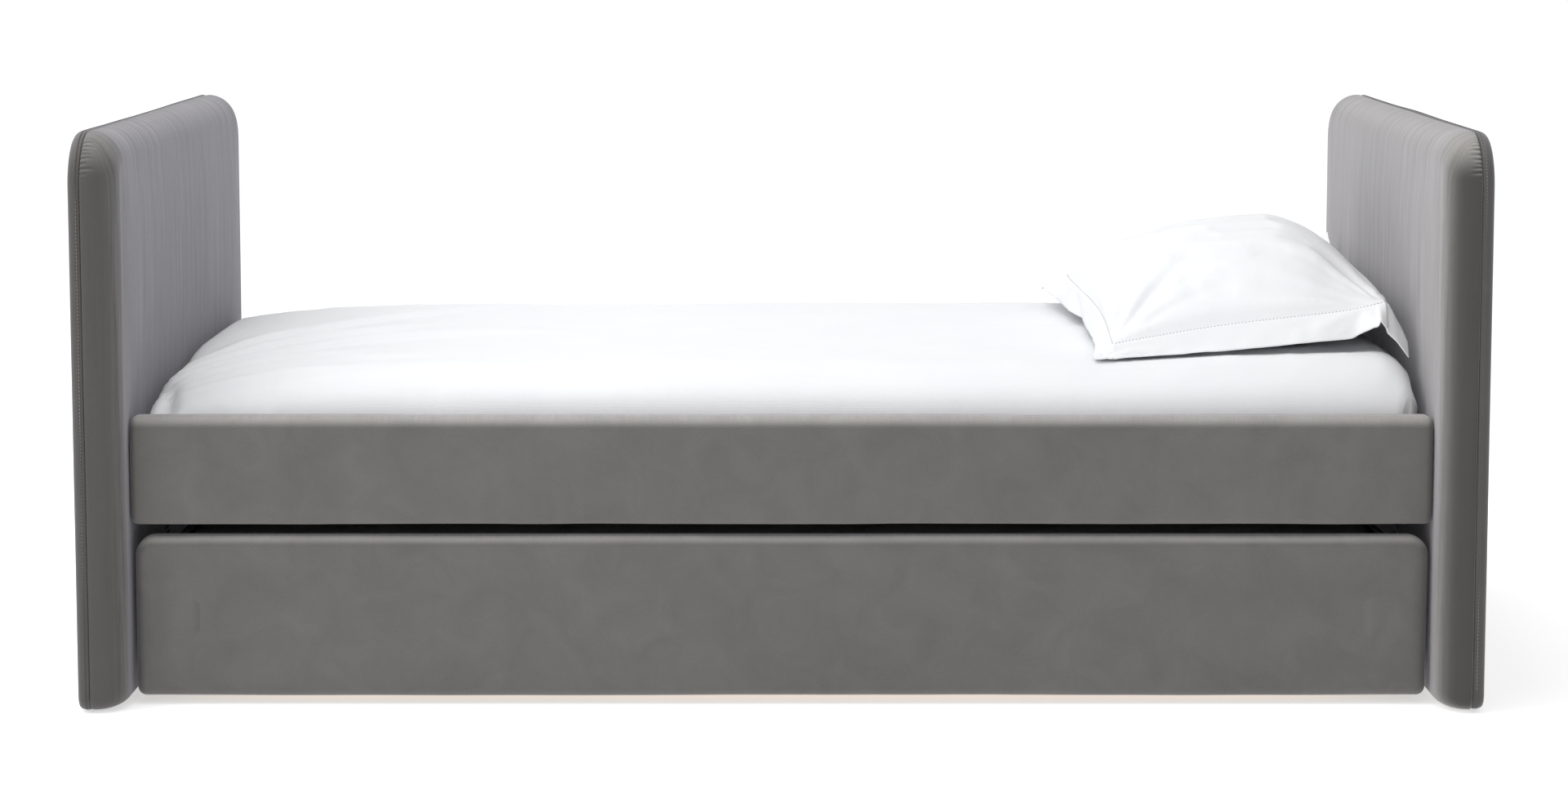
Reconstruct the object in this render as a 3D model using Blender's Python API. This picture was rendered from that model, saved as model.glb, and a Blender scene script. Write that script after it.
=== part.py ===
"""An upholstered twin trundle bed: two padded end panels, two padded rails, a slatted base with a dressed
mattress and a pillow, and a roll-out trundle on four fixed casters with its own mattress.

Metres, +Z up. X runs along the bed, the pillow end at +X. The trundle rolls out towards -Y.
The origin is on the floor under the middle of the bed.
"""

import math

import bmesh
import bpy
from mathutils import Vector

# ---- driving dimensions ------------------------------------------------------------------------
INNER_LENGTH = 1.930  # between the end panels' inner faces
PANEL_THICKNESS = 0.070
PANEL_DEPTH = 1.240
PANEL_TOP = 0.853
PANEL_TOP_CORNER = 0.080
PANEL_LOW_CORNER = 0.018
SEAM_FROM_BACK = 0.019  # the seam between the two covers of an end panel, from its outer face
NOSE_RADIUS = 0.046  # how far the padded edge of an end panel rolls in
GLIDE_HEIGHT = 0.004
RAIL_FACE = 0.555  # the rails' outer faces, from the middle of the bed
RAIL_THICKNESS = 0.055
RAIL_TOP = 0.431
RAIL_BOTTOM = 0.271
MATTRESS_LENGTH = 1.905
MATTRESS_WIDTH = 0.985
MATTRESS_BOTTOM = 0.336
MATTRESS_EDGE = 0.478  # height of the top near the mattress's edges
MATTRESS_CROWN = 0.492
SLAT_COUNT = 12
SLAT_WIDTH = 0.085
SLAT_THICKNESS = 0.018
TRUNDLE_FRONT_HALF = 0.959
TRUNDLE_FRONT_TOP = 0.253
TRUNDLE_FRONT_BOTTOM = 0.012
TRUNDLE_FRONT_THICKNESS = 0.032
TRUNDLE_REAR = 0.538
WHEEL_RADIUS = 0.030
WHEEL_WIDTH = 0.022
CASTER_X = 0.860
CASTER_Y = 0.440
PILLOW_LENGTH = 0.730  # along Y, without the flange
PILLOW_WIDTH = 0.470
PILLOW_RISE = 0.094  # half of the filled thickness at the middle
PILLOW_CENTRE = Vector((0.716, -0.012, 0.592))
PILLOW_TILT = math.radians(5.0)  # the side by the end panel is the higher one
FLANGE = 0.048

GAP = 0.0004  # between solids that touch on the real bed
INNER = INNER_LENGTH / 2
OUTER = INNER + PANEL_THICKNESS
SEAM = OUTER - SEAM_FROM_BACK
BOARD = 0.020  # thickness of an end panel's board
BOARD_IN = SEAM - 0.005  # the board's inner face
EDGE_PADDING = 0.008
RAIL_BOARD_OUT = RAIL_FACE - 0.016
RAIL_BOARD_IN = RAIL_FACE - 0.046
RAIL_INNER = RAIL_FACE - RAIL_THICKNESS
SLAT_TOP = MATTRESS_BOTTOM - 0.001
SLAT_BOTTOM = SLAT_TOP - SLAT_THICKNESS
LEDGE_HEIGHT = 0.030
DECK_BOTTOM = 0.083
DECK_THICKNESS = 0.012
TRUNDLE_SIDE = 0.943  # outer faces of the trundle's side boards
TRUNDLE_BOARD = 0.018
BRACKET_LOW = 0.290
BRACKET_HIGH = 0.400
BRACKET_PLATE = 0.003
BOLT_RADIUS = 0.004
BOLT_HOLE = 0.0045


# ---- materials ---------------------------------------------------------------------------------
def material(name, colour, roughness, metallic=0.0):
    made = bpy.data.materials.new(name)
    made.use_nodes = True
    shader = made.node_tree.nodes["Principled BSDF"]
    shader.inputs["Base Color"].default_value = (*colour, 1.0)
    shader.inputs["Roughness"].default_value = roughness
    shader.inputs["Metallic"].default_value = metallic
    made.diffuse_color = (*colour, 1.0)
    return made


def materials():
    return {
        "velvet": material("grey_velvet", (0.155, 0.150, 0.143), 0.85),
        "linen": material("white_cotton", (0.86, 0.86, 0.87), 0.80),
        "ticking": material("mattress_ticking", (0.80, 0.80, 0.78), 0.85),
        "dark": material("charcoal_cover", (0.030, 0.030, 0.031), 0.90),
        "timber": material("pine", (0.62, 0.45, 0.28), 0.60),
        "black_board": material("black_laminate", (0.035, 0.034, 0.033), 0.55),
        "steel": material("zinc_steel", (0.62, 0.62, 0.61), 0.35, 1.0),
        "rubber": material("grey_rubber", (0.09, 0.09, 0.09), 0.70),
        "nylon": material("black_nylon", (0.03, 0.03, 0.03), 0.50),
    }


# ---- mesh helpers ------------------------------------------------------------------------------
def make(name, bm, surface, parent=None, location=(0.0, 0.0, 0.0), smooth_over=35.0):
    """Turns a bmesh into a named object with its faces pointing out."""
    bmesh.ops.recalc_face_normals(bm, faces=bm.faces)
    if bm.calc_volume(signed=True) < 0:
        bmesh.ops.reverse_faces(bm, faces=bm.faces)
    mesh = bpy.data.meshes.new(name)
    bm.to_mesh(mesh)
    bm.free()
    mesh.shade_smooth()
    mesh.set_sharp_from_angle(angle=math.radians(smooth_over))
    mesh.materials.append(surface)
    made = bpy.data.objects.new(name, mesh)
    made.location = location
    made.parent = parent
    bpy.context.scene.collection.objects.link(made)
    return made


def group(name):
    made = bpy.data.objects.new(name, None)
    bpy.context.scene.collection.objects.link(made)
    return made


def loft(rings):
    """One closed skin through rings of equally many points, with a flat cap on the first and the last."""
    bm = bmesh.new()
    loops = [[bm.verts.new(point) for point in ring] for ring in rings]
    count = len(rings[0])
    for low, high in zip(loops, loops[1:]):
        for i in range(count):
            j = (i + 1) % count
            bm.faces.new((low[i], low[j], high[j], high[i]))
    bm.faces.new(loops[0][::-1])
    bm.faces.new(loops[-1])
    return bm


def box(low, high, edge=0.0, segments=2):
    """A box between two corners, its edges rounded by edge."""
    low, high = Vector(low), Vector(high)
    bm = bmesh.new()
    bmesh.ops.create_cube(bm, size=1.0)
    bmesh.ops.scale(bm, vec=high - low, verts=bm.verts)
    bmesh.ops.translate(bm, vec=(low + high) / 2, verts=bm.verts)
    if edge:
        bmesh.ops.bevel(bm, geom=bm.edges, offset=edge, segments=segments, profile=0.5, affect="EDGES")
    return bm


def prism(profile, axis, start, end):
    """A closed outline of (a, b) points, extruded along axis from start to end. The outline lies in the
    plane of the other two axes, taken in X, Y, Z order."""
    rings = []
    for place in (start, end):
        ring = []
        for a, b in profile:
            point = [a, b]
            point.insert(axis, place)
            ring.append(point)
        rings.append(ring)
    return loft(rings)


def arc(centre, radius, start, end, segments):
    """Points of an arc in a plane, angles in degrees."""
    points = []
    for i in range(segments + 1):
        angle = math.radians(start + (end - start) * i / segments)
        points.append((centre[0] + radius * math.cos(angle), centre[1] + radius * math.sin(angle)))
    return points


def rounded_outline(half, low, high, low_radius, high_radius, low_steps=3, high_steps=8):
    """A rectangle from -half to half and from low to high with its corners rounded, anticlockwise."""
    return (
        arc((half - low_radius, low + low_radius), low_radius, -90, 0, low_steps)
        + arc((half - high_radius, high - high_radius), high_radius, 0, 90, high_steps)
        + arc((high_radius - half, high - high_radius), high_radius, 90, 180, high_steps)
        + arc((low_radius - half, low + low_radius), low_radius, 180, 270, low_steps)
    )


def turned(profile, steps):
    """A closed profile of (x, radius) points turned about the X axis."""
    bm = bmesh.new()
    rings = []
    for i in range(steps):
        angle = 2 * math.pi * i / steps - math.pi / 2
        rings.append([bm.verts.new((x, r * math.cos(angle), r * math.sin(angle))) for x, r in profile])
    for i, ring in enumerate(rings):
        after = rings[(i + 1) % steps]
        for j in range(len(profile)):
            k = (j + 1) % len(profile)
            bm.faces.new((ring[j], ring[k], after[k], after[j]))
    return bm


def cylinder(axis, radius, start, end, centre, steps=16):
    """A plain round bar along an axis. centre holds the other two coordinates, in X, Y, Z order."""
    return prism(arc(centre, radius, 0, 360 * (steps - 1) / steps, steps - 1), axis, start, end)


def combine(target, operation, name, bm, surface):
    """Joins a shape to the target, or cuts it away. The shape stays as a hidden helper."""
    helper = make(name, bm, surface)
    helper.hide_render = True
    helper.display_type = "WIRE"
    helper.parent = target.parent
    modifier = target.modifiers.new(name, "BOOLEAN")
    modifier.operation = operation
    modifier.solver = "EXACT"
    modifier.object = helper
    return helper


# ---- end panels --------------------------------------------------------------------------------
def panel_ring(x, inset, low_inset):
    """The end panel's outline at x, pulled in by inset at the top and the sides."""
    outline = rounded_outline(
        PANEL_DEPTH / 2 - inset,
        GLIDE_HEIGHT + low_inset,
        PANEL_TOP - inset,
        PANEL_LOW_CORNER,
        PANEL_TOP_CORNER - inset,
    )
    return [(x, y, z) for y, z in outline]


def end_panel(side, name, stuff):
    """One end: a board between a padded inner cover and a thin outer cover, on two glides."""
    # The padded roll goes from the seam to the inner face in a quarter circle.
    rings = []
    for i in range(7):
        turn = math.pi / 2 * i / 6
        x = INNER + NOSE_RADIUS * (1 - math.sin(turn))
        inset = NOSE_RADIUS * (1 - math.cos(turn))
        rings.append(panel_ring(side * x, inset, inset * 0.30))
    rings.reverse()
    rings.append(panel_ring(side * (SEAM - GAP), 0.0, 0.0))
    rings.append(panel_ring(side * (SEAM - GAP), EDGE_PADDING, EDGE_PADDING))
    rings.append(panel_ring(side * (BOARD_IN - GAP), EDGE_PADDING, EDGE_PADDING))
    inner_cover = make(f"{name}_end_inner_cover", loft(rings), stuff["velvet"])

    round_over = 0.012
    board_out = BOARD_IN + BOARD
    rings = [panel_ring(side * SEAM, EDGE_PADDING, EDGE_PADDING), panel_ring(side * SEAM, 0.0, 0.0)]
    for i in range(4):
        turn = math.pi / 2 * i / 3
        x = OUTER - round_over * (1 - math.sin(turn))
        inset = round_over * (1 - math.cos(turn))
        rings.append(panel_ring(side * x, inset, inset))
    rings.insert(0, panel_ring(side * (board_out + GAP), EDGE_PADDING, EDGE_PADDING))
    make(f"{name}_end_outer_cover", loft(rings), stuff["velvet"])

    clear = EDGE_PADDING + GAP
    rings = [panel_ring(side * BOARD_IN, clear, clear), panel_ring(side * board_out, clear, clear)]
    board = make(f"{name}_end_board", loft(rings), stuff["timber"])

    for end, word in ((-1, "front"), (1, "rear")):
        glide = [(0.0, 0.013), (0.0028, 0.013), (GLIDE_HEIGHT - GAP, 0.010)]
        rings = []
        for z, radius in glide:
            circle = arc((side * (SEAM - 0.012), end * (PANEL_DEPTH / 2 - 0.055)), radius, 0, 337.5, 15)
            rings.append([(x, y, z) for x, y in circle])
        make(f"{name}_{word}_glide", loft(rings), stuff["nylon"])
        rail_bracket(side, end, f"{name}_{word}", inner_cover, board, stuff)


def rail_bracket(side, end, name, inner_cover, board, stuff):
    """A steel angle from the end panel's board to the rail's board, with its bolt."""
    face = RAIL_BOARD_IN - GAP  # the rail board's inner face
    wing = RAIL_BOARD_IN - 0.044
    panel_face = BOARD_IN - GAP
    rail_end = INNER - 0.090
    plate = BRACKET_PLATE
    outline = [
        (side * panel_face, end * face),
        (side * panel_face, end * wing),
        (side * (panel_face - plate), end * wing),
        (side * (panel_face - plate), end * (face - plate)),
        (side * rail_end, end * (face - plate)),
        (side * rail_end, end * face),
    ]
    bracket = make(f"{name}_rail_bracket", prism(outline, 2, BRACKET_LOW, BRACKET_HIGH), stuff["steel"])
    y = end * (wing + 0.018)
    z = (BRACKET_LOW + BRACKET_HIGH) / 2
    hole = cylinder(0, BOLT_HOLE, side * (panel_face - 0.02), side * (panel_face + 0.02), (y, z))
    combine(bracket, "DIFFERENCE", f"{name}_bracket_hole", hole, stuff["steel"])
    hole = cylinder(0, BOLT_HOLE, side * (BOARD_IN - 0.01), side * (BOARD_IN + BOARD + 0.01), (y, z))
    combine(board, "DIFFERENCE", f"{name}_board_hole", hole, stuff["steel"])

    margin = 0.003
    low = (INNER - 0.01, wing - margin, BRACKET_LOW - margin)
    high = (BOARD_IN + 0.002, face + margin, BRACKET_HIGH + margin)
    corners = sorted((side * low[0], side * high[0])), sorted((end * low[1], end * high[1]))
    pocket = box((corners[0][0], corners[1][0], low[2]), (corners[0][1], corners[1][1], high[2]))
    combine(inner_cover, "DIFFERENCE", f"{name}_pocket", pocket, stuff["velvet"])

    head = panel_face - plate - GAP
    rings = []
    for x, radius, in ((head - 0.005, 0.0068), (head - 0.004, 0.0078), (head, 0.0078)):
        rings.append([(side * x, a, b) for a, b in arc((y, z), radius, 0, 330, 11)])
    for x in (head, BOARD_IN + BOARD - 0.001):
        rings.append([(side * x, a, b) for a, b in arc((y, z), BOLT_RADIUS, 0, 330, 11)])
    make(f"{name}_rail_bolt", loft(rings), stuff["steel"])


# ---- rails and slats ---------------------------------------------------------------------------
def rail(end, name, stuff):
    """A rail: a board in a padded cover that wraps over it, with a ledge for the slats."""
    out, inn = RAIL_FACE, RAIL_INNER
    board_out, board_in = RAIL_BOARD_OUT + GAP, RAIL_BOARD_IN - GAP
    top, bottom = RAIL_TOP - 0.012, RAIL_BOTTOM + 0.006
    lip_low, lip_high = RAIL_BOTTOM + 0.013, RAIL_TOP - 0.026
    round_top, round_low, round_inner = 0.020, 0.010, 0.008
    outline = (
        arc((out - round_low, RAIL_BOTTOM + round_low), round_low, -90, 0, 3)
        + arc((out - round_top, RAIL_TOP - round_top), round_top, 0, 90, 6)
        + arc((inn + round_inner, RAIL_TOP - round_inner), round_inner, 90, 180, 3)
        + [(inn, lip_high), (board_in, lip_high), (board_in, top), (board_out, top)]
        + [(board_out, bottom), (board_in, bottom), (board_in, lip_low), (inn, lip_low)]
        + arc((inn + 0.005, RAIL_BOTTOM + 0.005), 0.005, 180, 270, 2)
    )
    outline = [(end * y, z) for y, z in outline]
    half = INNER - GAP
    make(f"{name}_rail_cover", prism(outline, 0, -half, half), stuff["velvet"])

    ys = sorted((end * (board_out - GAP), end * (board_in + GAP)))
    low = (-half + 0.0008, ys[0], bottom + GAP)
    high = (half - 0.0008, ys[1], top - GAP)
    make(f"{name}_rail_board", box(low, high, 0.001, 1), stuff["timber"])

    ys = sorted((end * (RAIL_BOARD_IN - GAP), end * (RAIL_BOARD_IN - 0.039)))
    ledge_half = INNER - 0.100
    low = (-ledge_half, ys[0], SLAT_BOTTOM - GAP - LEDGE_HEIGHT)
    high = (ledge_half, ys[1], SLAT_BOTTOM - GAP)
    make(f"{name}_slat_ledge", box(low, high, 0.002, 1), stuff["timber"])


def slats(stuff):
    """Flat slats across the bed, evenly spaced, resting on both ledges."""
    first = INNER - 0.100 - SLAT_WIDTH / 2 - 0.004
    reach = RAIL_INNER - 0.001
    for i in range(SLAT_COUNT):
        x = -first + 2 * first * i / (SLAT_COUNT - 1)
        low = (x - SLAT_WIDTH / 2, -reach, SLAT_BOTTOM)
        high = (x + SLAT_WIDTH / 2, reach, SLAT_TOP)
        make(f"slat_{i + 1:02d}", box(low, high, 0.003, 1), stuff["timber"])


# ---- mattress, sheet and pillow ----------------------------------------------------------------
def flat_ring(half_x, half_y, z, radius, steps=4, middle_y=0.0):
    """A level rounded rectangle."""
    outline = rounded_outline(half_x, -half_y, half_y, radius, radius, steps, steps)
    return [(x, y + middle_y, z) for x, y in outline]


def mattress_rings(grow, bottom, crowned=True):
    """The dressed mattress's skin from its underside to its crown, grown outwards by grow."""
    half_x, half_y = MATTRESS_LENGTH / 2, MATTRESS_WIDTH / 2
    corner, top_round, low_round = 0.060, 0.045, 0.014
    rings = []
    for i in range(4):
        turn = math.pi / 2 * i / 3
        inset = low_round * (1 - math.sin(turn)) - grow
        z = bottom + low_round * (1 - math.cos(turn))
        rings.append(flat_ring(half_x - inset, half_y - inset, z, corner - inset))
    for i in range(6):
        turn = math.pi / 2 * i / 5
        inset = top_round * (1 - math.cos(turn)) - grow
        z = MATTRESS_EDGE - top_round * (1 - math.sin(turn)) + grow
        rings.append(flat_ring(half_x - inset, half_y - inset, z, corner - inset))
    if crowned:
        for inset, share in ((0.110, 0.55), (0.190, 0.85), (0.290, 1.0)):
            z = MATTRESS_EDGE + (MATTRESS_CROWN - MATTRESS_EDGE) * share + grow
            rings.append(flat_ring(half_x - inset, half_y - inset, z, corner))
    return rings


def mattress_and_sheet(stuff):
    """The mattress, and the fitted sheet that caps it and turns under its edge."""
    make("mattress", loft(mattress_rings(0.0, MATTRESS_BOTTOM + 0.002)), stuff["ticking"])
    inside = mattress_rings(GAP, MATTRESS_BOTTOM + 0.002 - GAP)
    outside = mattress_rings(GAP + 0.0014, MATTRESS_BOTTOM)
    hem = 0.070
    half_x, half_y = MATTRESS_LENGTH / 2 - hem, MATTRESS_WIDTH / 2 - hem
    inner_hem = flat_ring(half_x, half_y, MATTRESS_BOTTOM + 0.002 - GAP, 0.05)
    outer_hem = flat_ring(half_x, half_y, MATTRESS_BOTTOM, 0.05)
    skin = inside[::-1] + [inner_hem, outer_hem] + outside
    make("bed_sheet", loft(skin), stuff["linen"])


def pillow_middle(a, b):
    """The pillow's mid surface over its own plane: a across, b along, in metres from its centre. It sinks
    towards the seam, most at the corners, and the flange hangs from the seam."""
    u, v = abs(a) / (PILLOW_WIDTH / 2), abs(b) / (PILLOW_LENGTH / 2)
    beyond = max(0.0, abs(b) - PILLOW_LENGTH / 2) * 0.60 + max(0.0, -a - PILLOW_WIDTH / 2) * 0.35
    return -0.034 * min(max(u, v), 1.0) ** 4 - 0.010 * min(u * v, 1.0) ** 3 - beyond


def pillow_rise(a, b):
    """Half of the filled thickness, 0 at the seam."""
    u, v = abs(a) / (PILLOW_WIDTH / 2), abs(b) / (PILLOW_LENGTH / 2)
    if u >= 1 or v >= 1:
        return 0.0
    return PILLOW_RISE * (1 - u**2.6) ** 0.62 * (1 - v**3.2) ** 0.62


def pillow_point(a, b, height, floor, wall):
    """A point of the pillow in place: tilted, resting on the bed, and hanging down at the end panel."""
    x = PILLOW_CENTRE.x + a * math.cos(PILLOW_TILT) - height * math.sin(PILLOW_TILT)
    z = PILLOW_CENTRE.z + a * math.sin(PILLOW_TILT) + height * math.cos(PILLOW_TILT)
    past_wall = max(0.0, x - wall)
    return Vector((x - past_wall, PILLOW_CENTRE.y + b, max(z - past_wall, floor)))


def spread(low, high, count):
    """Places from low to high, closer together near both ends, where the skin curves most."""
    return [low + (high - low) * (0.5 - 0.5 * math.cos(math.pi * i / count)) for i in range(count + 1)]


def pillow_sheet(bm, across, along, side, thickness, floor, wall):
    """A grid of points over the pillow's upper (side 1) or lower (side -1) skin."""
    sheet = []
    for a in across:
        row = []
        for b in along:
            height = pillow_middle(a, b) + side * (pillow_rise(a, b) + thickness)
            row.append(bm.verts.new(pillow_point(a, b, height, floor, wall)))
        sheet.append(row)
    return sheet


def skin_faces(bm, sheet):
    for low, high in zip(sheet, sheet[1:]):
        for j in range(len(low) - 1):
            bm.faces.new((low[j], high[j], high[j + 1], low[j + 1]))


def edge_loop(sheet, closed):
    """The grid's border, from one corner of its +Y side round the other three sides, and back if closed."""
    border = sheet[0][::-1] + [row[0] for row in sheet[1:]] + sheet[-1][1:]
    if closed:
        border += [row[-1] for row in sheet[-2::-1]]
    return border


def join_loops(bm, one, other):
    for i in range(len(one) - 1):
        bm.faces.new((one[i], one[i + 1], other[i + 1], other[i]))


def pillow(stuff):
    """The pillow and its flanged case, a sleeve that is open at its +Y end."""
    parent = group("pillow_lift")
    bed = MATTRESS_CROWN + 0.0030
    wall = INNER - 0.0030
    half_a, half_b = PILLOW_WIDTH / 2, PILLOW_LENGTH / 2
    skin, room, cloth = 0.0012, 0.0010, 0.0014
    across, along = spread(-half_a, half_a, 10), spread(-half_b, half_b, 14)

    bm = bmesh.new()
    upper = pillow_sheet(bm, across, along, 1, skin, bed + 0.0060, wall - 0.0030)
    lower = pillow_sheet(bm, across, along, -1, skin, bed + 0.0030, wall - 0.0060)
    skin_faces(bm, upper)
    skin_faces(bm, lower)
    join_loops(bm, edge_loop(upper, True), edge_loop(lower, True))
    make("pillow", bm, stuff["ticking"], parent, smooth_over=80)

    # The case's lining follows the pillow's own grid, so that the two skins stay evenly apart.
    inner_across = [across[0] - 0.002] + across[1:-1] + [across[-1] + 0.002]
    inner_along = [along[0] - 0.002] + along[1:] + [half_b + FLANGE / 2, half_b + FLANGE]
    outer_across = [across[0] - FLANGE] + across + [across[-1] + 0.015, across[-1] + FLANGE]
    outer_along = [along[0] - FLANGE, along[0] - FLANGE / 2] + along + [half_b + FLANGE / 2, half_b + FLANGE]
    bm = bmesh.new()
    depth = skin + room
    in_up = pillow_sheet(bm, inner_across, inner_along, 1, depth, bed + 0.0075, wall - 0.0020)
    in_low = pillow_sheet(bm, inner_across, inner_along, -1, depth, bed + 0.0020, wall - 0.0070)
    depth += cloth
    out_up = pillow_sheet(bm, outer_across, outer_along, 1, depth, bed + 0.0090, wall)
    out_low = pillow_sheet(bm, outer_across, outer_along, -1, depth, bed, wall - 0.0090)
    for sheet in (in_up, in_low, out_up, out_low):
        skin_faces(bm, sheet)
    join_loops(bm, edge_loop(in_up, False), edge_loop(in_low, False))
    join_loops(bm, edge_loop(out_up, False), edge_loop(out_low, False))
    mouth_rim(bm, [row[-1] for row in out_up], [row[-1] for row in in_up])
    mouth_rim(bm, [row[-1] for row in out_low], [row[-1] for row in in_low])
    for i in (0, -1):
        bm.faces.new((out_up[i][-1], in_up[i][-1], in_low[i][-1], out_low[i][-1]))
    make("pillowcase", bm, stuff["linen"], parent, smooth_over=80)


def mouth_rim(bm, outer, inner):
    """Closes the case's thickness along its mouth. The outer row has one more point at its -X end and two
    more at its +X end than the inner row."""
    bm.faces.new((outer[0], outer[1], inner[0]))
    bm.faces.new((outer[-1], outer[-2], inner[-1]))
    bm.faces.new((outer[-2], outer[-3], inner[-1]))
    join_loops(bm, outer[1:-2], inner)


# ---- trundle -----------------------------------------------------------------------------------
def front_ring(y, inset):
    outline = rounded_outline(
        TRUNDLE_FRONT_HALF - inset,
        TRUNDLE_FRONT_BOTTOM + inset,
        TRUNDLE_FRONT_TOP - inset,
        max(0.014 - inset, 0.003),
        max(0.030 - inset, 0.010),
        3,
        6,
    )
    return [(x, y, z) for x, z in outline]


def trundle_box(parent, stuff):
    """The padded front, and the plain box behind it with its deck, bearer and mattress."""
    face = -RAIL_FACE
    back = face + TRUNDLE_FRONT_THICKNESS
    round_over = 0.013
    board_face = face + 0.014
    rings = []
    for i in range(5):
        turn = math.pi / 2 * i / 4
        inset = round_over * (1 - math.sin(turn))
        rings.append(front_ring(face + round_over * (1 - math.cos(turn)), inset))
    rings += [front_ring(back, 0.0), front_ring(back, 0.007), front_ring(board_face, 0.007)]
    make("trundle_front_cover", loft(rings), stuff["velvet"], parent)
    rings = [front_ring(board_face + GAP, 0.007 + GAP), front_ring(back, 0.007 + GAP)]
    make("trundle_front_board", loft(rings), stuff["timber"], parent)

    low_z, high_z = 0.045, 0.170
    start = back + GAP
    rear_face = TRUNDLE_REAR - TRUNDLE_BOARD
    for side, name in ((-1, "left"), (1, "right")):
        xs = sorted((side * (TRUNDLE_SIDE - TRUNDLE_BOARD), side * TRUNDLE_SIDE))
        side_board = box((xs[0], start, low_z), (xs[1], rear_face - GAP, high_z), 0.0015, 1)
        make(f"trundle_{name}_side", side_board, stuff["black_board"], parent)
    rear = box((-TRUNDLE_SIDE, rear_face, low_z), (TRUNDLE_SIDE, TRUNDLE_REAR, high_z), 0.0015, 1)
    make("trundle_rear_board", rear, stuff["black_board"], parent)

    inside = TRUNDLE_SIDE - TRUNDLE_BOARD - GAP
    deck_low = (-inside, start, DECK_BOTTOM)
    deck_high = (inside, rear_face - GAP, DECK_BOTTOM + DECK_THICKNESS)
    make("trundle_deck", box(deck_low, deck_high), stuff["timber"], parent)
    bearer_low = (-inside, -0.030, DECK_BOTTOM - GAP - 0.024)
    bearer_high = (inside, 0.030, DECK_BOTTOM - GAP)
    make("trundle_centre_bearer", box(bearer_low, bearer_high, 0.002, 1), stuff["timber"], parent)

    half_x, half_y, middle = inside - 0.008, 0.505, -0.005
    low, high, corner = DECK_BOTTOM + DECK_THICKNESS + GAP, 0.243, 0.050
    rings = []
    for i in range(4):
        turn = math.pi / 2 * i / 3
        inset = 0.015 * (1 - math.sin(turn))
        z = low + 0.015 * (1 - math.cos(turn))
        rings.append(flat_ring(half_x - inset, half_y - inset, z, corner - inset, 4, middle))
    for i in range(5):
        turn = math.pi / 2 * i / 4
        inset = 0.022 * (1 - math.cos(turn))
        z = high - 0.022 * (1 - math.sin(turn))
        rings.append(flat_ring(half_x - inset, half_y - inset, z, corner - inset, 4, middle))
    make("trundle_mattress", loft(rings), stuff["dark"], parent)


def caster(parent, x, y, name, stuff):
    """A fixed caster: a plate with two fork legs, an axle riveted through them, and a wheel on it."""
    inside, wall = WHEEL_WIDTH / 2 + 0.0015, 0.0025
    top = DECK_BOTTOM - GAP
    plate = box((x - 0.024, y - 0.031, top - 0.003), (x + 0.024, y + 0.031, top))
    fork = make(f"caster_{name}_fork", plate, stuff["steel"], parent)
    leg = [(y + 0.022, top - 0.001), (y - 0.022, top - 0.001)]
    leg += arc((y, WHEEL_RADIUS), 0.010, 195, 345, 6)
    for side in (-1, 1):
        start, end = sorted((side * inside, side * (inside + wall)))
        leg_shape = prism(leg, 0, x + start, x + end)
        combine(fork, "UNION", f"caster_{name}_leg_{side}", leg_shape, stuff["steel"])
    hole = cylinder(0, 0.0045, x - 0.02, x + 0.02, (y, WHEEL_RADIUS))
    combine(fork, "DIFFERENCE", f"caster_{name}_hole", hole, stuff["steel"])

    end = inside + wall + 0.0004
    rings = []
    for place, radius in (
        (-end - 0.002, 0.0055),
        (-end - 0.0008, 0.0068),
        (-end, 0.0068),
        (-end, 0.0040),
        (end, 0.0040),
        (end, 0.0068),
        (end + 0.0008, 0.0068),
        (end + 0.002, 0.0055),
    ):
        rings.append([(x + place, a, b) for a, b in arc((y, WHEEL_RADIUS), radius, 0, 337.5, 15)])
    make(f"caster_{name}_axle", loft(rings), stuff["steel"], parent)

    half, radius = WHEEL_WIDTH / 2, WHEEL_RADIUS
    profile = [
        (-half, 0.0045),
        (-half, 0.010),
        (-half + 0.004, 0.0115),
        (-half + 0.004, radius - 0.0065),
        (-half + 0.0008, radius - 0.005),
        (-half + 0.0032, radius),
    ]
    profile += [(-px, r) for px, r in reversed(profile)]
    hub = bpy.data.objects.new(f"caster_{name}_spin", None)
    hub.location = (x, y, WHEEL_RADIUS)
    hub.parent = parent
    bpy.context.scene.collection.objects.link(hub)
    make(f"caster_{name}_wheel", turned(profile, 20), stuff["rubber"], hub)


def trundle(stuff):
    parent = group("trundle_slide")
    trundle_box(parent, stuff)
    for y, depth in ((-CASTER_Y, "front"), (CASTER_Y, "rear")):
        for x, side in ((-CASTER_X, "left"), (CASTER_X, "right")):
            caster(parent, x, y, f"{depth}_{side}", stuff)


def main():
    for old in list(bpy.data.objects):
        bpy.data.objects.remove(old)
    stuff = materials()
    end_panel(-1, "left", stuff)
    end_panel(1, "right", stuff)
    rail(-1, "front", stuff)
    rail(1, "back", stuff)
    slats(stuff)
    mattress_and_sheet(stuff)
    pillow(stuff)
    trundle(stuff)


main()
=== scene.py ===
"""The looks of an upholstered trundle bed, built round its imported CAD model.

Everything is in metres, in the CAD model's frame: +X is the pillow end, -Y the side that the trundle rolls
out of, +Z up. Sizes come from the CAD nodes' boxes wherever a CAD node has them.
"""

import math

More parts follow.
